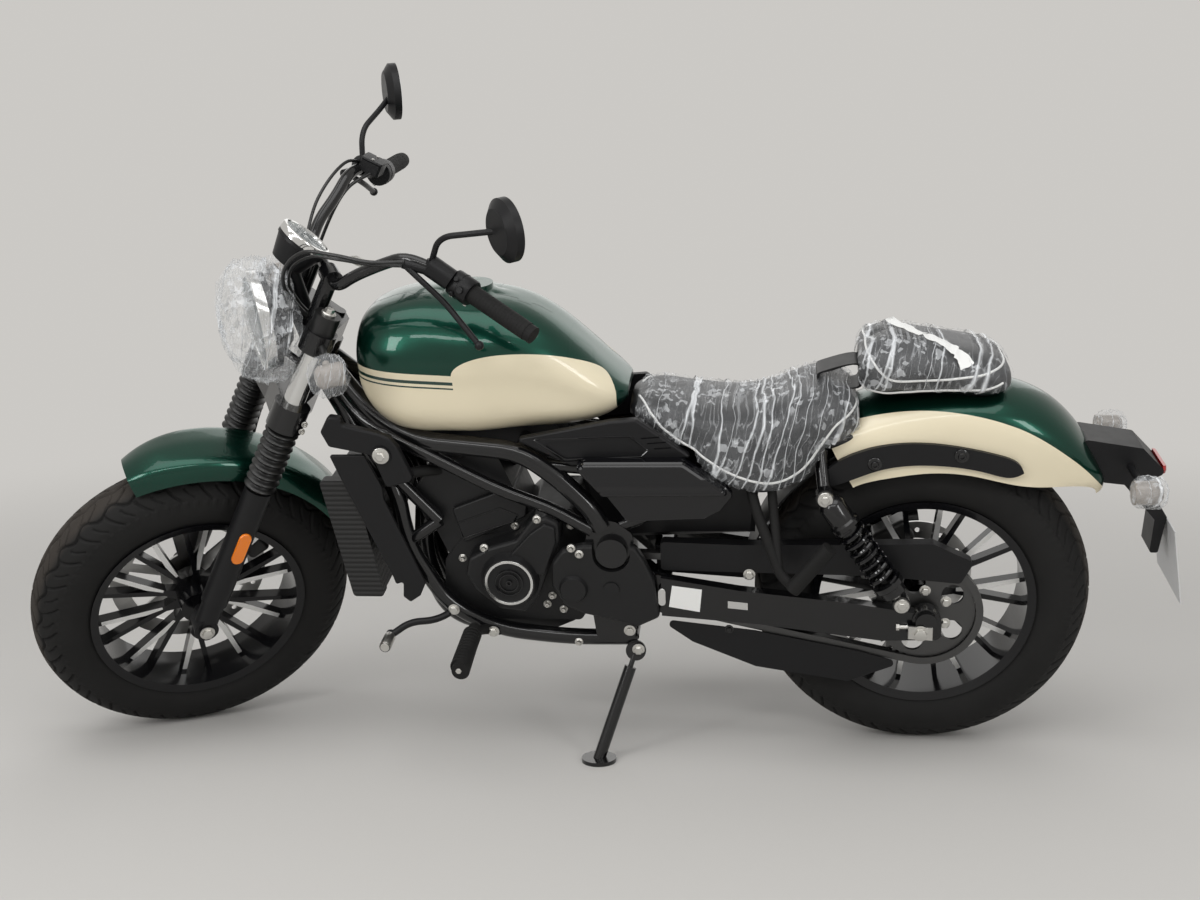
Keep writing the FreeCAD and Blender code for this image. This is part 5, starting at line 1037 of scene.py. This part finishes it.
def cover_bolts(bright):
    """Bosses with socket screws on the left covers, and the larger bolts of the frame."""
    solids = nodes_tree("engine", "stator_cover", "sprocket_cover", "main_frame", "swingarm",
                        "radiator_shroud", "foot_controls", "pegs", "side_stand", "chain_guards")
    for place in seats(solids, COVER_SCREWS):
        bright.turned(place - LEFT * (6 * MM), LEFT, [(8.5, 0), (8.5, 6), (7.5, 7)], 20)
        bright.bolt(place + LEFT * MM, LEFT, 5.0, 6.5, "round")
    for place in seats(solids, FRAME_BOLTS):
        bright.bolt(place, LEFT, 8.5, 8.0)


def axle_end(bright, arm, side):
    """The axle's plate and nut, and the chain adjuster's screw behind them."""
    out = LEFT * side
    place = seated(arm, 11, 303, side, 8.0)
    corners = ((-23, -15), (23, -12), (23, 15), (-23, 12))
    bright.plate([place + (AHEAD * dx + UP * dz) * MM for dx, dz in corners], out, 4.0, 1.0)
    bright.bolt(place + out * (3 * MM), out, 12.0, 11.0)
    place = seated(arm, 50, 311, side, 3.0)
    bright.turned(place + out * (4 * MM) - AHEAD * (16 * MM), AHEAD, [(4, 0), (4, 16), (7, 16), (7, 22)], 6)


def frame_bolts():
    """Every bolt that rides with the frame: bright ones and blackened ones."""
    bright, dark = Build(), Build()
    cover_bolts(bright)
    shroud, rails, arm = nodes_tree("radiator_shroud"), nodes_tree("fender_rails"), nodes_tree("swingarm")
    arm_and_guards = nodes_tree("swingarm", "chain_guards")
    for side in SIDES:
        out = LEFT * side
        place = seated(shroud, 1017, 672, side)
        bright.turned(place - out * (3 * MM), out, [(16, 0), (16, 4.5), (14, 5.5)], 28)
        bright.bolt(place + out * (2 * MM), out, 9.0, 8.0)
        for place in seats(rails, ((102, 638), (-54, 654)), side):
            dark.turned(place, out, [(13, 0), (13, 2.5), (11, 4)], 28)
            dark.bolt(place + out * (3 * MM), out, 7.5, 6.0, "round")
        for place in seats(arm_and_guards, ((373, 287), (356, 393)), side):
            dark.bolt(place, out, 6.5, 6.0)
        axle_end(bright, arm, side)
    rim_bolts(bright, "clutch_cover", -1, 9, 8.0, 4.6, 0.3)
    bright.done("frame_bolts", steel_part, "frame", slot="steel")
    dark.done("dark_bolts", satin, "frame", slot="black_frame")


def fork_bolts():
    """Axle caps, leg caps, yoke screws and the steering stem's nut."""
    held = Build()
    for side in SIDES:
        held.bolt(fork(LEG_AHEAD, 131 * side, -593), FORK_LEFT * side, 11.0, 9.0)
        held.turned(fork(LEG_AHEAD, LEG_SIDE * side, 134), STEER, [(14, -1), (14, 3), (12, 5)], 32)
        held.turned(fork(LEG_AHEAD, LEG_SIDE * side, 138), STEER, [(9, 0), (9, 6), (8, 7.5)], 6)
        for u in (-98, -82):
            held.bolt(fork(40, 139 * side, u), FORK_LEFT * side, 4.5, 6.0, "round")
    held.turned(fork(0, 0, 206), STEER, [(17, -1), (17, 5), (15, 7)], 6)
    held.done("fork_bolts", steel_part, "fork", slot="steel")


def stand_bolt():
    pivot = Build()
    pivot.bolt(seated(nodes_tree("side_stand"), 550, 249, 1, 3.0), LEFT, 9.0, 8.0)
    pivot.done("stand_bolt", steel_part, "side_stand", slot="steel")


def tail_lens():
    """A red lens on the tail lamp's rear face, found by rays from behind."""
    lamp = nodes_tree("tail_lamp")
    ends = []
    for z in range(586, 656, 4):
        hit = lamp.ray_cast(bike(-700, 0, z), AHEAD, 0.6)[0]
        if hit is not None:
            ends.append((round(ahead_of(hit)), z))
    last = min(x for x, _ in ends)
    heights = [z for x, z in ends if x < last + 8]
    low, high = min(heights), max(heights)
    middle = (low + high) / 2
    outline = ((-44, low), (44, low), (48, middle), (44, high), (-44, high), (-48, middle))
    lens = Build()
    lens.plate([bike(last + 1, y, z) for y, z in outline], -AHEAD, 6.0, 3.0)
    lens.done("tail_lens", red_lens, "frame", slot="lamp")


def sprocket_nuts():
    one, two = across(LEFT)
    nuts = Build()
    for k in range(6):
        angle = math.pi * (k + 0.5) / 3
        spoke = one * math.cos(angle) + two * math.sin(angle)
        nuts.bolt(REAR_HUB + LEFT * (101 * MM) + spoke * (46 * MM), LEFT, 8.0, 9.0)
    nuts.done("sprocket_nuts", steel_part, "rear_wheel", slot="steel")


def toe_piece():
    """A bright sleeve on the shift lever's toe end, sized by the solid's own points there."""
    toe = [v.co for v in frame["nodes"]["foot_controls"].data.vertices
           if ahead_of(v.co) > 1000.0 and left_of(v.co) > 190.0]
    middle = sum(toe, Vector()) / len(toe)
    reach = max(((p - middle) - LEFT * (p - middle).dot(LEFT)).length for p in toe) / MM
    far = max(left_of(p) for p in toe) - left_of(middle)
    profile = [(reach + 0.6, 0), (reach + 1.2, 2), (reach + 1.2, 41), (reach - 1.5, 44.5)]
    sleeve = Build()
    sleeve.turned(middle + LEFT * ((far - 44) * MM), LEFT, profile, 28)
    sleeve.done("toe_piece", steel_part, "frame", slot="steel")


# Covers, labels and inner parts

def slot_outline(place, radius, half):
    """Points round a slot with round ends; place turns sizes across and along into a point."""
    outline = []
    for shift, first in ((half, 0), (-half, 180)):
        outline += [place(radius * math.cos(math.radians(a)), shift + radius * math.sin(math.radians(a)))
                    for a in range(first, first + 181, 20)]
    return outline


def inset_line(build, points, y, radius=1.3):
    """A raised line round a flat face, with its corners eased."""
    corners = [bike(x, y, z) for x, z in points]
    line = []
    for i, corner in enumerate(corners):
        before, after = corners[i - 1], corners[(i + 1) % len(corners)]
        for share, other in ((0.10, before), (0.03, before), (0.03, after), (0.10, after)):
            line.append(corner.lerp(other, share))
    build.tube(line, radius, 6, True)


def cover_ring():
    """The polished ring on the round cover, and a slot-shaped plate on the swingarm."""
    ring = Build()
    profile = [(47.5, -4), (47.5, 1.6), (46.8, 2.6), (42.2, 2.6), (41.5, 1.6), (41.5, -4)]
    ring.turned(bike(RING_AHEAD, 150.5, RING_HEIGHT), LEFT, profile, 64, caps=False)
    outline = slot_outline(lambda over, along: bike(500 + over, 136.1, 369 + along), 7.5, 11)
    ring.plate(outline, LEFT, 3.0, 1.0)
    ring.done("cover_ring", polished, "frame", slot="steel")


def cover_lines():
    """Raised rings inside the polished one, and the lines round the flat faces of covers and panels."""
    lines = Build()
    centre = bike(RING_AHEAD, 152, RING_HEIGHT)
    for radius in (27.0, 19.0):
        profile = [(radius, -1), (radius, 0.9), (radius - 2, 0.9), (radius - 2, -1)]
        lines.turned(centre, LEFT, profile, 48, caps=False)
    lines.turned(centre, LEFT, [(6, -1), (6, 1.5), (3, 1.5), (2.8, -1)], 24)
    inset_line(lines, ((897, 505), (812, 537), (777, 522), (786, 508), (888, 472)), 94.2)
    for side in SIDES:
        inset_line(lines, ((730, 696), (550, 702), (517, 673), (530, 661), (672, 656)), 139.6 * side, 1.6)
    lines.done("cover_lines", gloss, "frame", slot="gloss_black_plastic")


def bare_labels():
    """The swingarm's paper label and metal tag, both blank."""
    face = 136.2
    label = Build()
    label.plate([bike(x, face, z) for x, z in ((480, 393), (487, 348), (428, 337), (423, 385))], LEFT, 0.5)
    label.done("bare_label", paper, "frame")
    tag = Build()
    tag.plate([bike(x, face, z) for x, z in ((374, 361), (336, 357), (336, 342), (374, 346))], LEFT, 0.5)
    tag.done("bare_tag", polished, "frame", slot="steel")


def battery_box(box):
    """The battery's box under the seat, its outline eased."""
    side = [(322, 470), (600, 462), (632, 500), (640, 640), (430, 648), (322, 636)]
    outline = curve_through([Vector((x, z, 0)) for x, z in side + side[:1]], 5)[:-1]
    middle = sum(outline, Vector()) / len(outline)
    rows = []
    for y, pull in ((62, 10.0), (54, 0.0), (-54, 0.0), (-62, 10.0)):
        ring = [p + (middle - p).normalized() * pull for p in outline]
        rows.append([bike(p[0], y, p[1]) for p in ring])
    box.rings(rows)


def tyre_guard(box):
    """A thin curved guard ahead of the rear tyre."""
    rows = []
    for degrees in range(8, 58, 5):
        dx, dz = math.cos(math.radians(degrees)), math.sin(math.radians(degrees))
        rows.append([bike(radius * dx, y, REAR_AXLE_HEIGHT + radius * dz)
                     for radius, y in ((343.0, 60.0), (346.0, 60.0), (346.0, -60.0), (343.0, -60.0))])
    box.rings(rows)


def inner_box():
    """What shows dark between the covers: a box, the tyre's guard, a plate and a block under the tank."""
    box = Build()
    battery_box(box)
    tyre_guard(box)
    box.plate([bike(x, 80, z) for x, z in ((512, 398), (512, 452), (334, 446), (334, 384))], LEFT, 3.0)
    block = ((680, 636), (960, 668), (1012, 704), (700, 692))
    box.rings([[bike(x, y, z) for x, z in block] for y in (42, -42)])
    box.done("inner_box", moulded, "frame", slot="black_plastic")


def inner_hoses():
    """Water hoses behind the radiator, and the throttle body with its boot."""
    hoses = Build()
    for side in SIDES:
        path = ((1040, 96, 590), (1002, 100, 606), (955, 88, 612), (905, 60, 604))
        hoses.tube(curve_through([bike(x, y * side, z) for x, y, z in path], 8), 11.0, 14)
    profile = [(30, 0), (30, 40), (26, 42), (26, 70), (32, 74), (32, 130)]
    hoses.turned(bike(840, 0, 600), bike_way(-0.85, 0, 0.30), profile, 32)
    hoses.done("inner_hoses", rubber, "frame", 50.0, "rubber")


# Tank crown

SCAN_HEIGHT = 800.0
SCAN_REACH = 0.4
CROWN_LIFT = 0.3


def spread(grid, pick, size):
    """Each value replaced by the largest or smallest in a square about it, as pick says."""
    best = grid.copy()
    for a in range(-size, size + 1):
        for b in range(-size, size + 1):
            best = pick(best, np.roll(np.roll(grid, a, 0), b, 1))
    return best


def tank_scan(stations, ways):
    """How far the tank's skin lies from a line along its inside, all along and all round."""
    tree = nodes_tree("fuel_tank")
    reach = np.zeros((len(stations), len(ways)))
    for i, x in enumerate(stations):
        axis = bike(x, 0, SCAN_HEIGHT)
        for k, way in enumerate(ways):
            hit = tree.ray_cast(axis + way * SCAN_REACH, -way, SCAN_REACH)[0]
            reach[i, k] = 0.0 if hit is None else (hit - axis).length / MM
    return reach


def tank_crown():
    """Closes the places where the tank's hollow breaks through its top with a patch of its scanned skin."""
    stations = np.arange(600.0, 1062.0, 3.0)
    ways = [LEFT * math.cos(a) + UP * math.sin(a) for a in np.radians(np.arange(14.0, 167.0, 1.2))]
    reach = tank_scan(stations, ways)
    closed = spread(spread(reach, np.maximum, 9), np.minimum, 9)
    torn = (closed - reach) > 2.0
    torn[:10], torn[-10:], torn[:, :10], torn[:, -10:] = False, False, False, False
    wide = spread(torn.astype(float), np.maximum, 2) > 0
    filled = np.where(wide, closed, reach)
    for _ in range(400):
        around = sum(np.roll(filled, step, side) for side in (0, 1) for step in (1, -1)) / 4
        filled = np.where(wide, around, reach)
    cover = spread(wide.astype(float), np.maximum, 2) > 0
    verts, index = [], {}
    for i, k in zip(*np.nonzero(cover)):
        index[i, k] = len(verts)
        verts.append(bike(stations[i], 0, SCAN_HEIGHT) + ways[k] * ((filled[i, k] + CROWN_LIFT) * MM))
    faces = [(index[i, k], index[i + 1, k], index[i + 1, k + 1], index[i, k + 1]) for i, k in index
             if (i + 1, k) in index and (i, k + 1) in index and (i + 1, k + 1) in index]
    if faces:
        piece("tank_crown", verts, faces, tank_paint, "frame")


# Lamp, meter and mirrors

def side_reflectors():
    """Amber reflectors on the outer faces of the fork."""
    amber = Build()
    for side in SIDES:
        outline = slot_outline(lambda over, along: fork(LEG_AHEAD + over, 130.5 * side, along - 382), 12, 24)
        amber.plate(outline, FORK_LEFT * side, 5.0, 1.5)
    amber.done("side_reflectors", orange, "fork", slot="amber")


def lamp_and_meter():
    """The headlamp's rim, reflector and glass, and the meter's rim and glass."""
    rims, face, clear = Build(), Build(), Build()
    rim = [(95, -12), (95, 3), (93, 6.5), (89, 8), (85, 6.5), (84, 2), (84, -4)]
    rims.turned(LAMP_CENTRE, LAMP_WAY, rim, 72, caps=False)
    bowl = [(84 - 7 * k, 1.5 + 0.9 * (1 - (k - 5.5) ** 2 / 30)) for k in range(1, 12)]
    face.turned(LAMP_CENTRE, LAMP_WAY, [(84, 1.5)] + bowl + [(1, 2.0)], 72, caps=False)
    for radius in (30, 48, 66):
        step = [(radius, 2.0), (radius, 4.5), (radius - 3, 4.5), (radius - 3, 2.0)]
        face.turned(LAMP_CENTRE, LAMP_WAY, step, 60, caps=False)
    face.done("lamp_reflector", polished, "fork", slot="lamp")
    rim = [(50, -8), (50, 3), (48.5, 5.5), (45.5, 6.5), (42.5, 5.0), (41.5, 1.0)]
    rims.turned(METER_CENTRE, METER_WAY, rim, 64, caps=False)
    rims.done("chrome_rims", chrome, "fork", slot="chrome")
    dome = [(86, 4), (82, 9), (70, 14), (50, 18), (26, 20), (1, 20.5)]
    clear.turned(LAMP_CENTRE, LAMP_WAY, dome, 60, caps=False)
    dome = [(43.5, 4), (40, 6), (30, 7.5), (14, 8.3), (1, 8.5)]
    clear.turned(METER_CENTRE, METER_WAY, dome, 56, caps=False)
    clear.done("glass_domes", glass, "fork", slot="lamp")


def meter_face():
    """A dark dial with its marks, bare of figures, and a needle."""
    dial, marks = Build(), Build()
    dial.turned(METER_CENTRE, METER_WAY, [(43, 1.2), (1, 1.2)], 56)
    dial.done("meter_dial", gloss, "fork", slot="gloss_black_plastic")
    up = (FORK_AHEAD - METER_WAY * FORK_AHEAD.dot(METER_WAY)).normalized()
    right = METER_WAY.cross(up)

    def hand(angle, height, inner, outer, wide, narrow, thick):
        """A flat bar along a ray of the dial, by its ends' distances and half widths."""
        ray = up * math.cos(angle) + right * math.sin(angle)
        base, half = METER_CENTRE + METER_WAY * (height * MM), METER_WAY.cross(ray) * MM
        marks.plate([base + ray * (inner * MM) - half * wide, base + ray * (outer * MM) - half * narrow,
                     base + ray * (outer * MM) + half * narrow, base + ray * (inner * MM) + half * wide],
                    METER_WAY, thick)

    for k in range(21):
        inner, half = (30, 0.8) if k % 5 == 0 else (34, 0.4)
        hand(math.radians(-150 + 15 * k), 1.4, inner, 39, half, half, 0.5)
    hand(2.2, 2.5, -9, 33, 1.1, 0.44, 0.6)
    marks.turned(METER_CENTRE + METER_WAY * MM, METER_WAY, [(4, 0), (4, 3), (3, 3.6)], 24)
    marks.done("dial_marks", piping, "fork")


def mirror_glass():
    """Round glass on both mirrors, set where a ray meets their faces."""
    faces = Build()
    tree = nodes_tree("mirrors")
    for side in SIDES:
        facing = fork_way(-0.75, -0.10 * side, 0.35)
        middle = fork(-80, 328 * side, 455)
        hit = tree.ray_cast(middle + facing * 0.15, -facing, 0.3)[0]
        place = middle if hit is None else hit
        faces.turned(place + facing * (0.4 * MM), facing, [(50, -1), (50, 0.6), (48.5, 1.1)], 48)
    faces.done("mirror_faces", mirror, "fork", slot="chrome")


# Handlebar and pegs

RIB_PITCH, PEG_PITCH = 7.0, 11.0


def square_to(along):
    """The direction most like the steering axis that is square to a handlebar's end."""
    return (STEER - along * STEER.dot(along)).normalized()


def switches(dark, bright, centre, along, side):
    """A switch housing with its seam, three buttons and two screws."""
    up = square_to(along)
    back = along.cross(up) * side
    dark.turned(centre - along * (21 * MM), along, [(24, 0), (24.5, 2), (24.5, 40), (23, 42)], 32)
    dark.turned(centre - along * (4 * MM), along, [(25.2, 0), (25.2, 1.6)], 32)
    for lift, slide, wide in ((0.6, -9, 5.5), (0.1, 8, 6.5), (-0.5, -6, 5.0)):
        way = (back * math.cos(lift) + up * math.sin(lift)).normalized()
        button = centre + (along * slide + way * 22) * MM
        dark.turned(button, way, [(wide, 0), (wide, 6), (wide - 1, 7)], 20)
    for slide in (-16, 16):
        bright.turned(centre + (along * slide - up * 24) * MM, -up, [(3.4, 0), (3.4, 2.5)], 12)


def reservoir(dark, bright):
    """The brake fluid's eight-sided box, its lid and the lid's screws."""
    along = fork_way(-84, -120, -3)
    up = square_to(along)
    ahead, base = along.cross(up), fork(-48, -212, 318)

    def cornered(height, long, wide, cut):
        """A level rectangle with cut corners, by its half sizes."""
        ring = [(-long, cut - wide), (cut - long, -wide), (long - cut, -wide), (long, cut - wide)]
        ring += [(-a, -b) for a, b in ring]
        return [base + (along * a + ahead * b + up * height) * MM for a, b in ring]

    dark.plate(cornered(0, 24, 22, 4), up, 24.0, 2.0)
    dark.plate(cornered(24, 25, 23, 3), up, 4.0, 1.5)
    for slide in (-16, 16):
        bright.turned(base + (up * 28 + along * slide) * MM, up, [(3.2, 0), (3.2, 1.6)], 14)


def bar_parts():
    """Switches, the brake's reservoir, the bright bar ends and the ribs of the rubber grips."""
    dark, bright, ribs = Build(), Build(), Build()
    cap = [(11.5, 0), (12.5, 2), (12.5, 11), (10.5, 13.5), (5, 14)]
    rib = [(15.6, 0), (17.3, 0.8), (17.3, 2.6), (15.6, 3.4)]
    for side in SIDES:
        along = fork_way(-84, 120 * side, -3)
        centre, end = fork(-90, 257 * side, 308), fork(-172, 374 * side, 305)
        switches(dark, bright, centre, along, side)
        bright.turned(end - along * (4 * MM), along, cap, 32)
        start = centre + along * (26 * MM)
        length = (end - start).dot(along) / MM
        for k in range(int((length - 10) / RIB_PITCH) + 1):
            ribs.turned(start + along * ((k * RIB_PITCH + 4) * MM), along, rib, 24, caps=False)
    reservoir(dark, bright)
    dark.done("switch_housings", moulded, "fork", slot="black_plastic")
    bright.done("bar_ends", steel_part, "fork", slot="steel")
    ribs.done("grip_ribs", rubber, "fork", 60.0, "rubber")


def peg_rubbers():
    """Rubber rings along the rider's pegs, and their bright end bolts."""
    ribs, tips = Build(), Build()
    rib = [(16.5, 0), (18.6, 1), (18.6, 6), (16.5, 7)]
    for side in SIDES:
        root, tip = bike(PEG_AHEAD, 172 * side, PEG_HEIGHT), bike(PEG_AHEAD, 306 * side, PEG_HEIGHT)
        way = (tip - root).normalized()
        for k in range(int((tip - root).length / MM / PEG_PITCH)):
            ribs.turned(root + way * ((k * PEG_PITCH + 3) * MM), way, rib, 24, caps=False)
        tips.turned(bike(PEG_AHEAD, 312 * side, PEG_HEIGHT), way, [(7, -2), (7, 5), (5.5, 6.5)], 6)
    ribs.done("peg_ribs", rubber, "frame", 60.0, "rubber")
    tips.done("peg_tips", steel_part, "frame", slot="steel")


# Cables

def length_of(line):
    return sum((b - a).length for a, b in zip(line, line[1:]))


def cable(name, path, radius):
    """A loose cable on the fork, a round bar along a smooth line that ends in the object."""
    line = curve_through([fork(f, y, u) for f, y, u in path], 14)
    made = Build().tube(line, radius, 10).done(name, sheath, "fork", 60.0, "rubber")
    length_of(line)


def cables():
    """What hangs between the handlebar and the fork, as the photograph shows it."""
    cable("clutch_cable", ((25, 236, 320), (69, 200, 290), (113, 150, 267), (150, 110, 244), (161, 80, 200),
                           (145, 60, 152), (103, 50, 115), (72, 55, 97)), 3.6)
    cable("switch_lead", ((22, 229, 309), (60, 190, 282), (97, 142, 258), (132, 104, 236), (146, 72, 196),
                          (132, 50, 152), (98, 38, 118), (70, 40, 100)), 2.8)
    cable("throttle_cable", ((-30, -225, 326), (10, -196, 330), (44, -160, 305), (70, -122, 262),
                             (78, -92, 214), (74, -72, 160), (66, -60, 118), (50, -52, 90)), 3.2)
    cable("brake_hose", ((-40, -190, 320), (0, -168, 290), (20, -150, 240), (24, -144, 150), (20, -146, 20),
                         (16, -146, -130), (18, -128, -250), (10, -104, -330), (-8, -90, -400),
                         (-20, -82, -434)), 3.4)


# Piping and paper

def laid(tree, points, lift):
    """Points moved onto a surface and a little off it."""
    line = []
    for point in points:
        hit, normal, _, _ = tree.find_nearest(point)
        line.append(hit + normal * (lift * MM))
    return line


def piped(build, tree, points):
    """A bead along a surface, its line eased twice."""
    line = laid(tree, curve_through(points, 12), 0.6)
    for _ in range(2):
        line = [line[0]] + [(a + b * 2 + c) / 4 for a, b, c in zip(line, line[1:], line[2:])] + [line[-1]]
    build.tube(line, 2.3, 8)


def seat_piping():
    """White piping: a line down each side of both cushions, and a loop round the rear one."""
    rider_tree, rear_tree = tree_of(seat.data), tree_of(pillion.data)
    rider, rear = Build(), Build()
    for side in SIDES:
        path = ((539, 39, 748), (508, 104, 726), (494, 118, 706), (424, 136, 662), (350, 146, 624),
                (284, 150, 612), (228, 146, 640), (192, 140, 690), (163, 124, 724), (131, 40, 738))
        piped(rider, rider_tree, [bike(x, y * side, z) for x, y, z in path])
        low = ((126, 60, 762), (111, 100, 748), (67, 106, 745), (1, 107, 757), (-60, 104, 770),
               (-118, 80, 783))
        piped(rear, rear_tree, [bike(x, y * side, z) for x, y, z in low])
    upper = ((117, 2, 845), (111, 86, 831), (95, 103, 810), (72, 106, 794), (14, 107, 793), (-53, 107, 799),
             (-94, 99, 803), (-128, 54, 809))
    loop = [bike(x, y, z) for x, y, z in upper] + [bike(x, -y, z) for x, y, z in upper[:0:-1]]
    piped(rear, rear_tree, loop + loop[:1])
    rider.done("rider_piping", piping, "frame", 60.0)
    rear.done("pillion_piping", piping, "frame", 60.0)


def seat_strap():
    """The black loop between the two seats."""
    outline = [(206, 778), (196, 789), (128, 803), (124, 758), (168, 756), (200, 765)]
    outer = curve_through([Vector((x, z, 0)) for x, z in outline + outline[:1]], 6)[:-1]
    middle = sum(outer, Vector()) / len(outer)
    inner = [p + (middle - p).normalized() * 5.0 for p in outer]
    edges = ((outer, 34), (outer, -34), (inner, -34), (inner, 34))
    strap = Build()
    strap.rings([[bike(p[0], y, p[1]) for p in ring] for ring, y in edges], closed=True)
    strap.done("seat_strap", moulded, "frame", slot="black_plastic")


def paper_strip():
    """A blank paper strip laid over the pillion's film, its first end raised."""
    tree = tree_of(bpy.data.objects["pillion_wrap"].data)
    path = ((72, -12, 880), (50, 0, 868), (20, 22, 861), (-10, 44, 853), (-34, 66, 843), (-50, 86, 830),
            (-58, 98, 812))
    middle = curve_through([bike(x, y, z) for x, y, z in path], 6)
    rows = []
    for i, point in enumerate(middle):
        way = (middle[min(i + 1, len(middle) - 1)] - middle[max(i - 1, 0)]).normalized()
        wide = way.cross(tree.find_nearest(point)[1]).normalized()
        lift = 2.2 + 11.0 * max(0.0, 1.0 - i / 10.0) ** 2
        row = []
        for k in range(5):
            near, out, _, _ = tree.find_nearest(point + wide * ((k - 2) * 6.5 * MM))
            if out.dot(UP) < 0 and out.dot(LEFT) < 0:
                out = -out
            row.append(near + out * (lift * MM))
        rows.append(row)
    made = piece("paper_strip", *open_grid(rows), paper, "frame")
    run = length_of([row[2] for row in rows])


# The scene

make_camera()
make_world()
make_floor()
make_lamps()
bpy.context.scene.view_settings.view_transform = "Standard"
# Noise vectors start from the clock unless they are seeded, and every crease is drawn with them
noise.seed_set(CREASE_SEED)

make_green().on("front_fender")
tank_paint = two_tone("tank_paint", tank_cream, tank_stripes).on("fuel_tank")
two_tone("fender_paint", fender_cream).on("rear_fender")
satin = make_satin_black()
satin.on("main_frame", "swingarm", "handlebar", "side_stand", "fork_yokes", "exhaust", "shock_absorbers")
gloss = Finish("gloss_black", (0.003, 0.003, 0.004), 0.06)
gloss.on("headlamp")
make_crowned().on("airbox_covers")
make_wheel("front_wheel_paint", FRONT_HUB, FORK_LEFT).on("front_rim")
make_wheel("rear_wheel_paint", REAR_HUB, LEFT).on("rear_rim")
moulded = make_moulded("black_moulding")
moulded.on("radiator_shroud", "side_panels", "chain_guards", "fender_rails", "fork_sliders")
moulded.on("meter", "tail_lamp", "hand_levers", "mirrors", "foot_controls")
make_cast().on("engine", "stator_cover", "sprocket_cover", "clutch_cover")
make_core().on("radiator")
chrome = make_metal("chrome_plate", (0.75, 0.75, 0.74), 0.12, 0.06)
make_fork_tube().on("fork_tubes")
make_metal("bright_steel", (0.55, 0.55, 0.54), 0.3).on("front_disc", "rear_disc")
dark_steel = make_metal("dark_steel", (0.10, 0.10, 0.10), 0.42)
dark_steel.on("front_caliper", "rear_caliper", "drive_chain", "rear_sprocket")
polished = make_metal("polished_metal", (0.72, 0.72, 0.71), 0.16, 0.06)
mirror = make_metal("mirror_glass", (0.62, 0.64, 0.66), 0.04, 0.0)
orange = Finish("amber_lens", (0.86, 0.21, 0.004), 0.18, coat_weight=0.6, coat_roughness=0.05)
glass = Finish("clear_glass", (0.75, 0.80, 0.80), 0.03, alpha=0.28)
sheath = Finish("cable_sheath", (0.008, 0.008, 0.008), 0.32)
steel_part = make_metal("plated_steel", (0.62, 0.61, 0.58), 0.32)
rubber = make_rubber("plain_rubber")
boot_rubber = Finish("boot_rubber", (0.007, 0.007, 0.007), 0.34, specular_ior_level=0.5)
rubber.on("grips", "pegs")
leather = make_moulded("black_leather", 0.36, 420.0, (0.010, 0.010, 0.011))
make_signal("front_lenses", [front_signal_place(side) for side in SIDES]).on("front_signals")
make_signal("rear_lenses", [rear_signal_place(side) for side in SIDES]).on("rear_signals")
red_lens = Finish("red_lens", (0.35, 0.008, 0.008), 0.12, coat_weight=0.8, coat_roughness=0.04)
Finish("bare_plate", (0.6, 0.6, 0.6), 0.5).on("number_plate")
piping = Finish("white_piping", (0.78, 0.78, 0.76), 0.4)
paper = Finish("bare_paper", (0.82, 0.82, 0.80), 0.6)
film = make_film("clear_film", AHEAD + LEFT * 0.4 + UP * 0.3, 48.0, 0.12, 0.66)
seat_film = make_film("seat_film", AHEAD * 0.9 + UP * 0.25, 27.0, 0.07, 0.76)

tyre("treaded_front_tyre", "front_tyre", FRONT_HUB, FORK_LEFT, FRONT_TYRE_RADIUS, FRONT_TYRE_WIDTH,
     "front_wheel")
tyre("treaded_rear_tyre", "rear_tyre", REAR_HUB, LEFT, REAR_TYRE_RADIUS, REAR_TYRE_WIDTH, "rear_wheel")
shocks()
fork_boots()
seat = puffed("rider_seat", "rider_cushion", leather, 38.0)
pillion = puffed("pillion_seat", "pillion_cushion", leather, 0.0)
seat_wraps()
lamp_bags()
frame_bolts()
fork_bolts()
stand_bolt()
tail_lens()
sprocket_nuts()
toe_piece()
cover_ring()
cover_lines()
bare_labels()
inner_box()
inner_hoses()
tank_crown()
side_reflectors()
lamp_and_meter()
meter_face()
mirror_glass()
bar_parts()
peg_rubbers()
cables()
seat_piping()
seat_strap()
paper_strip()
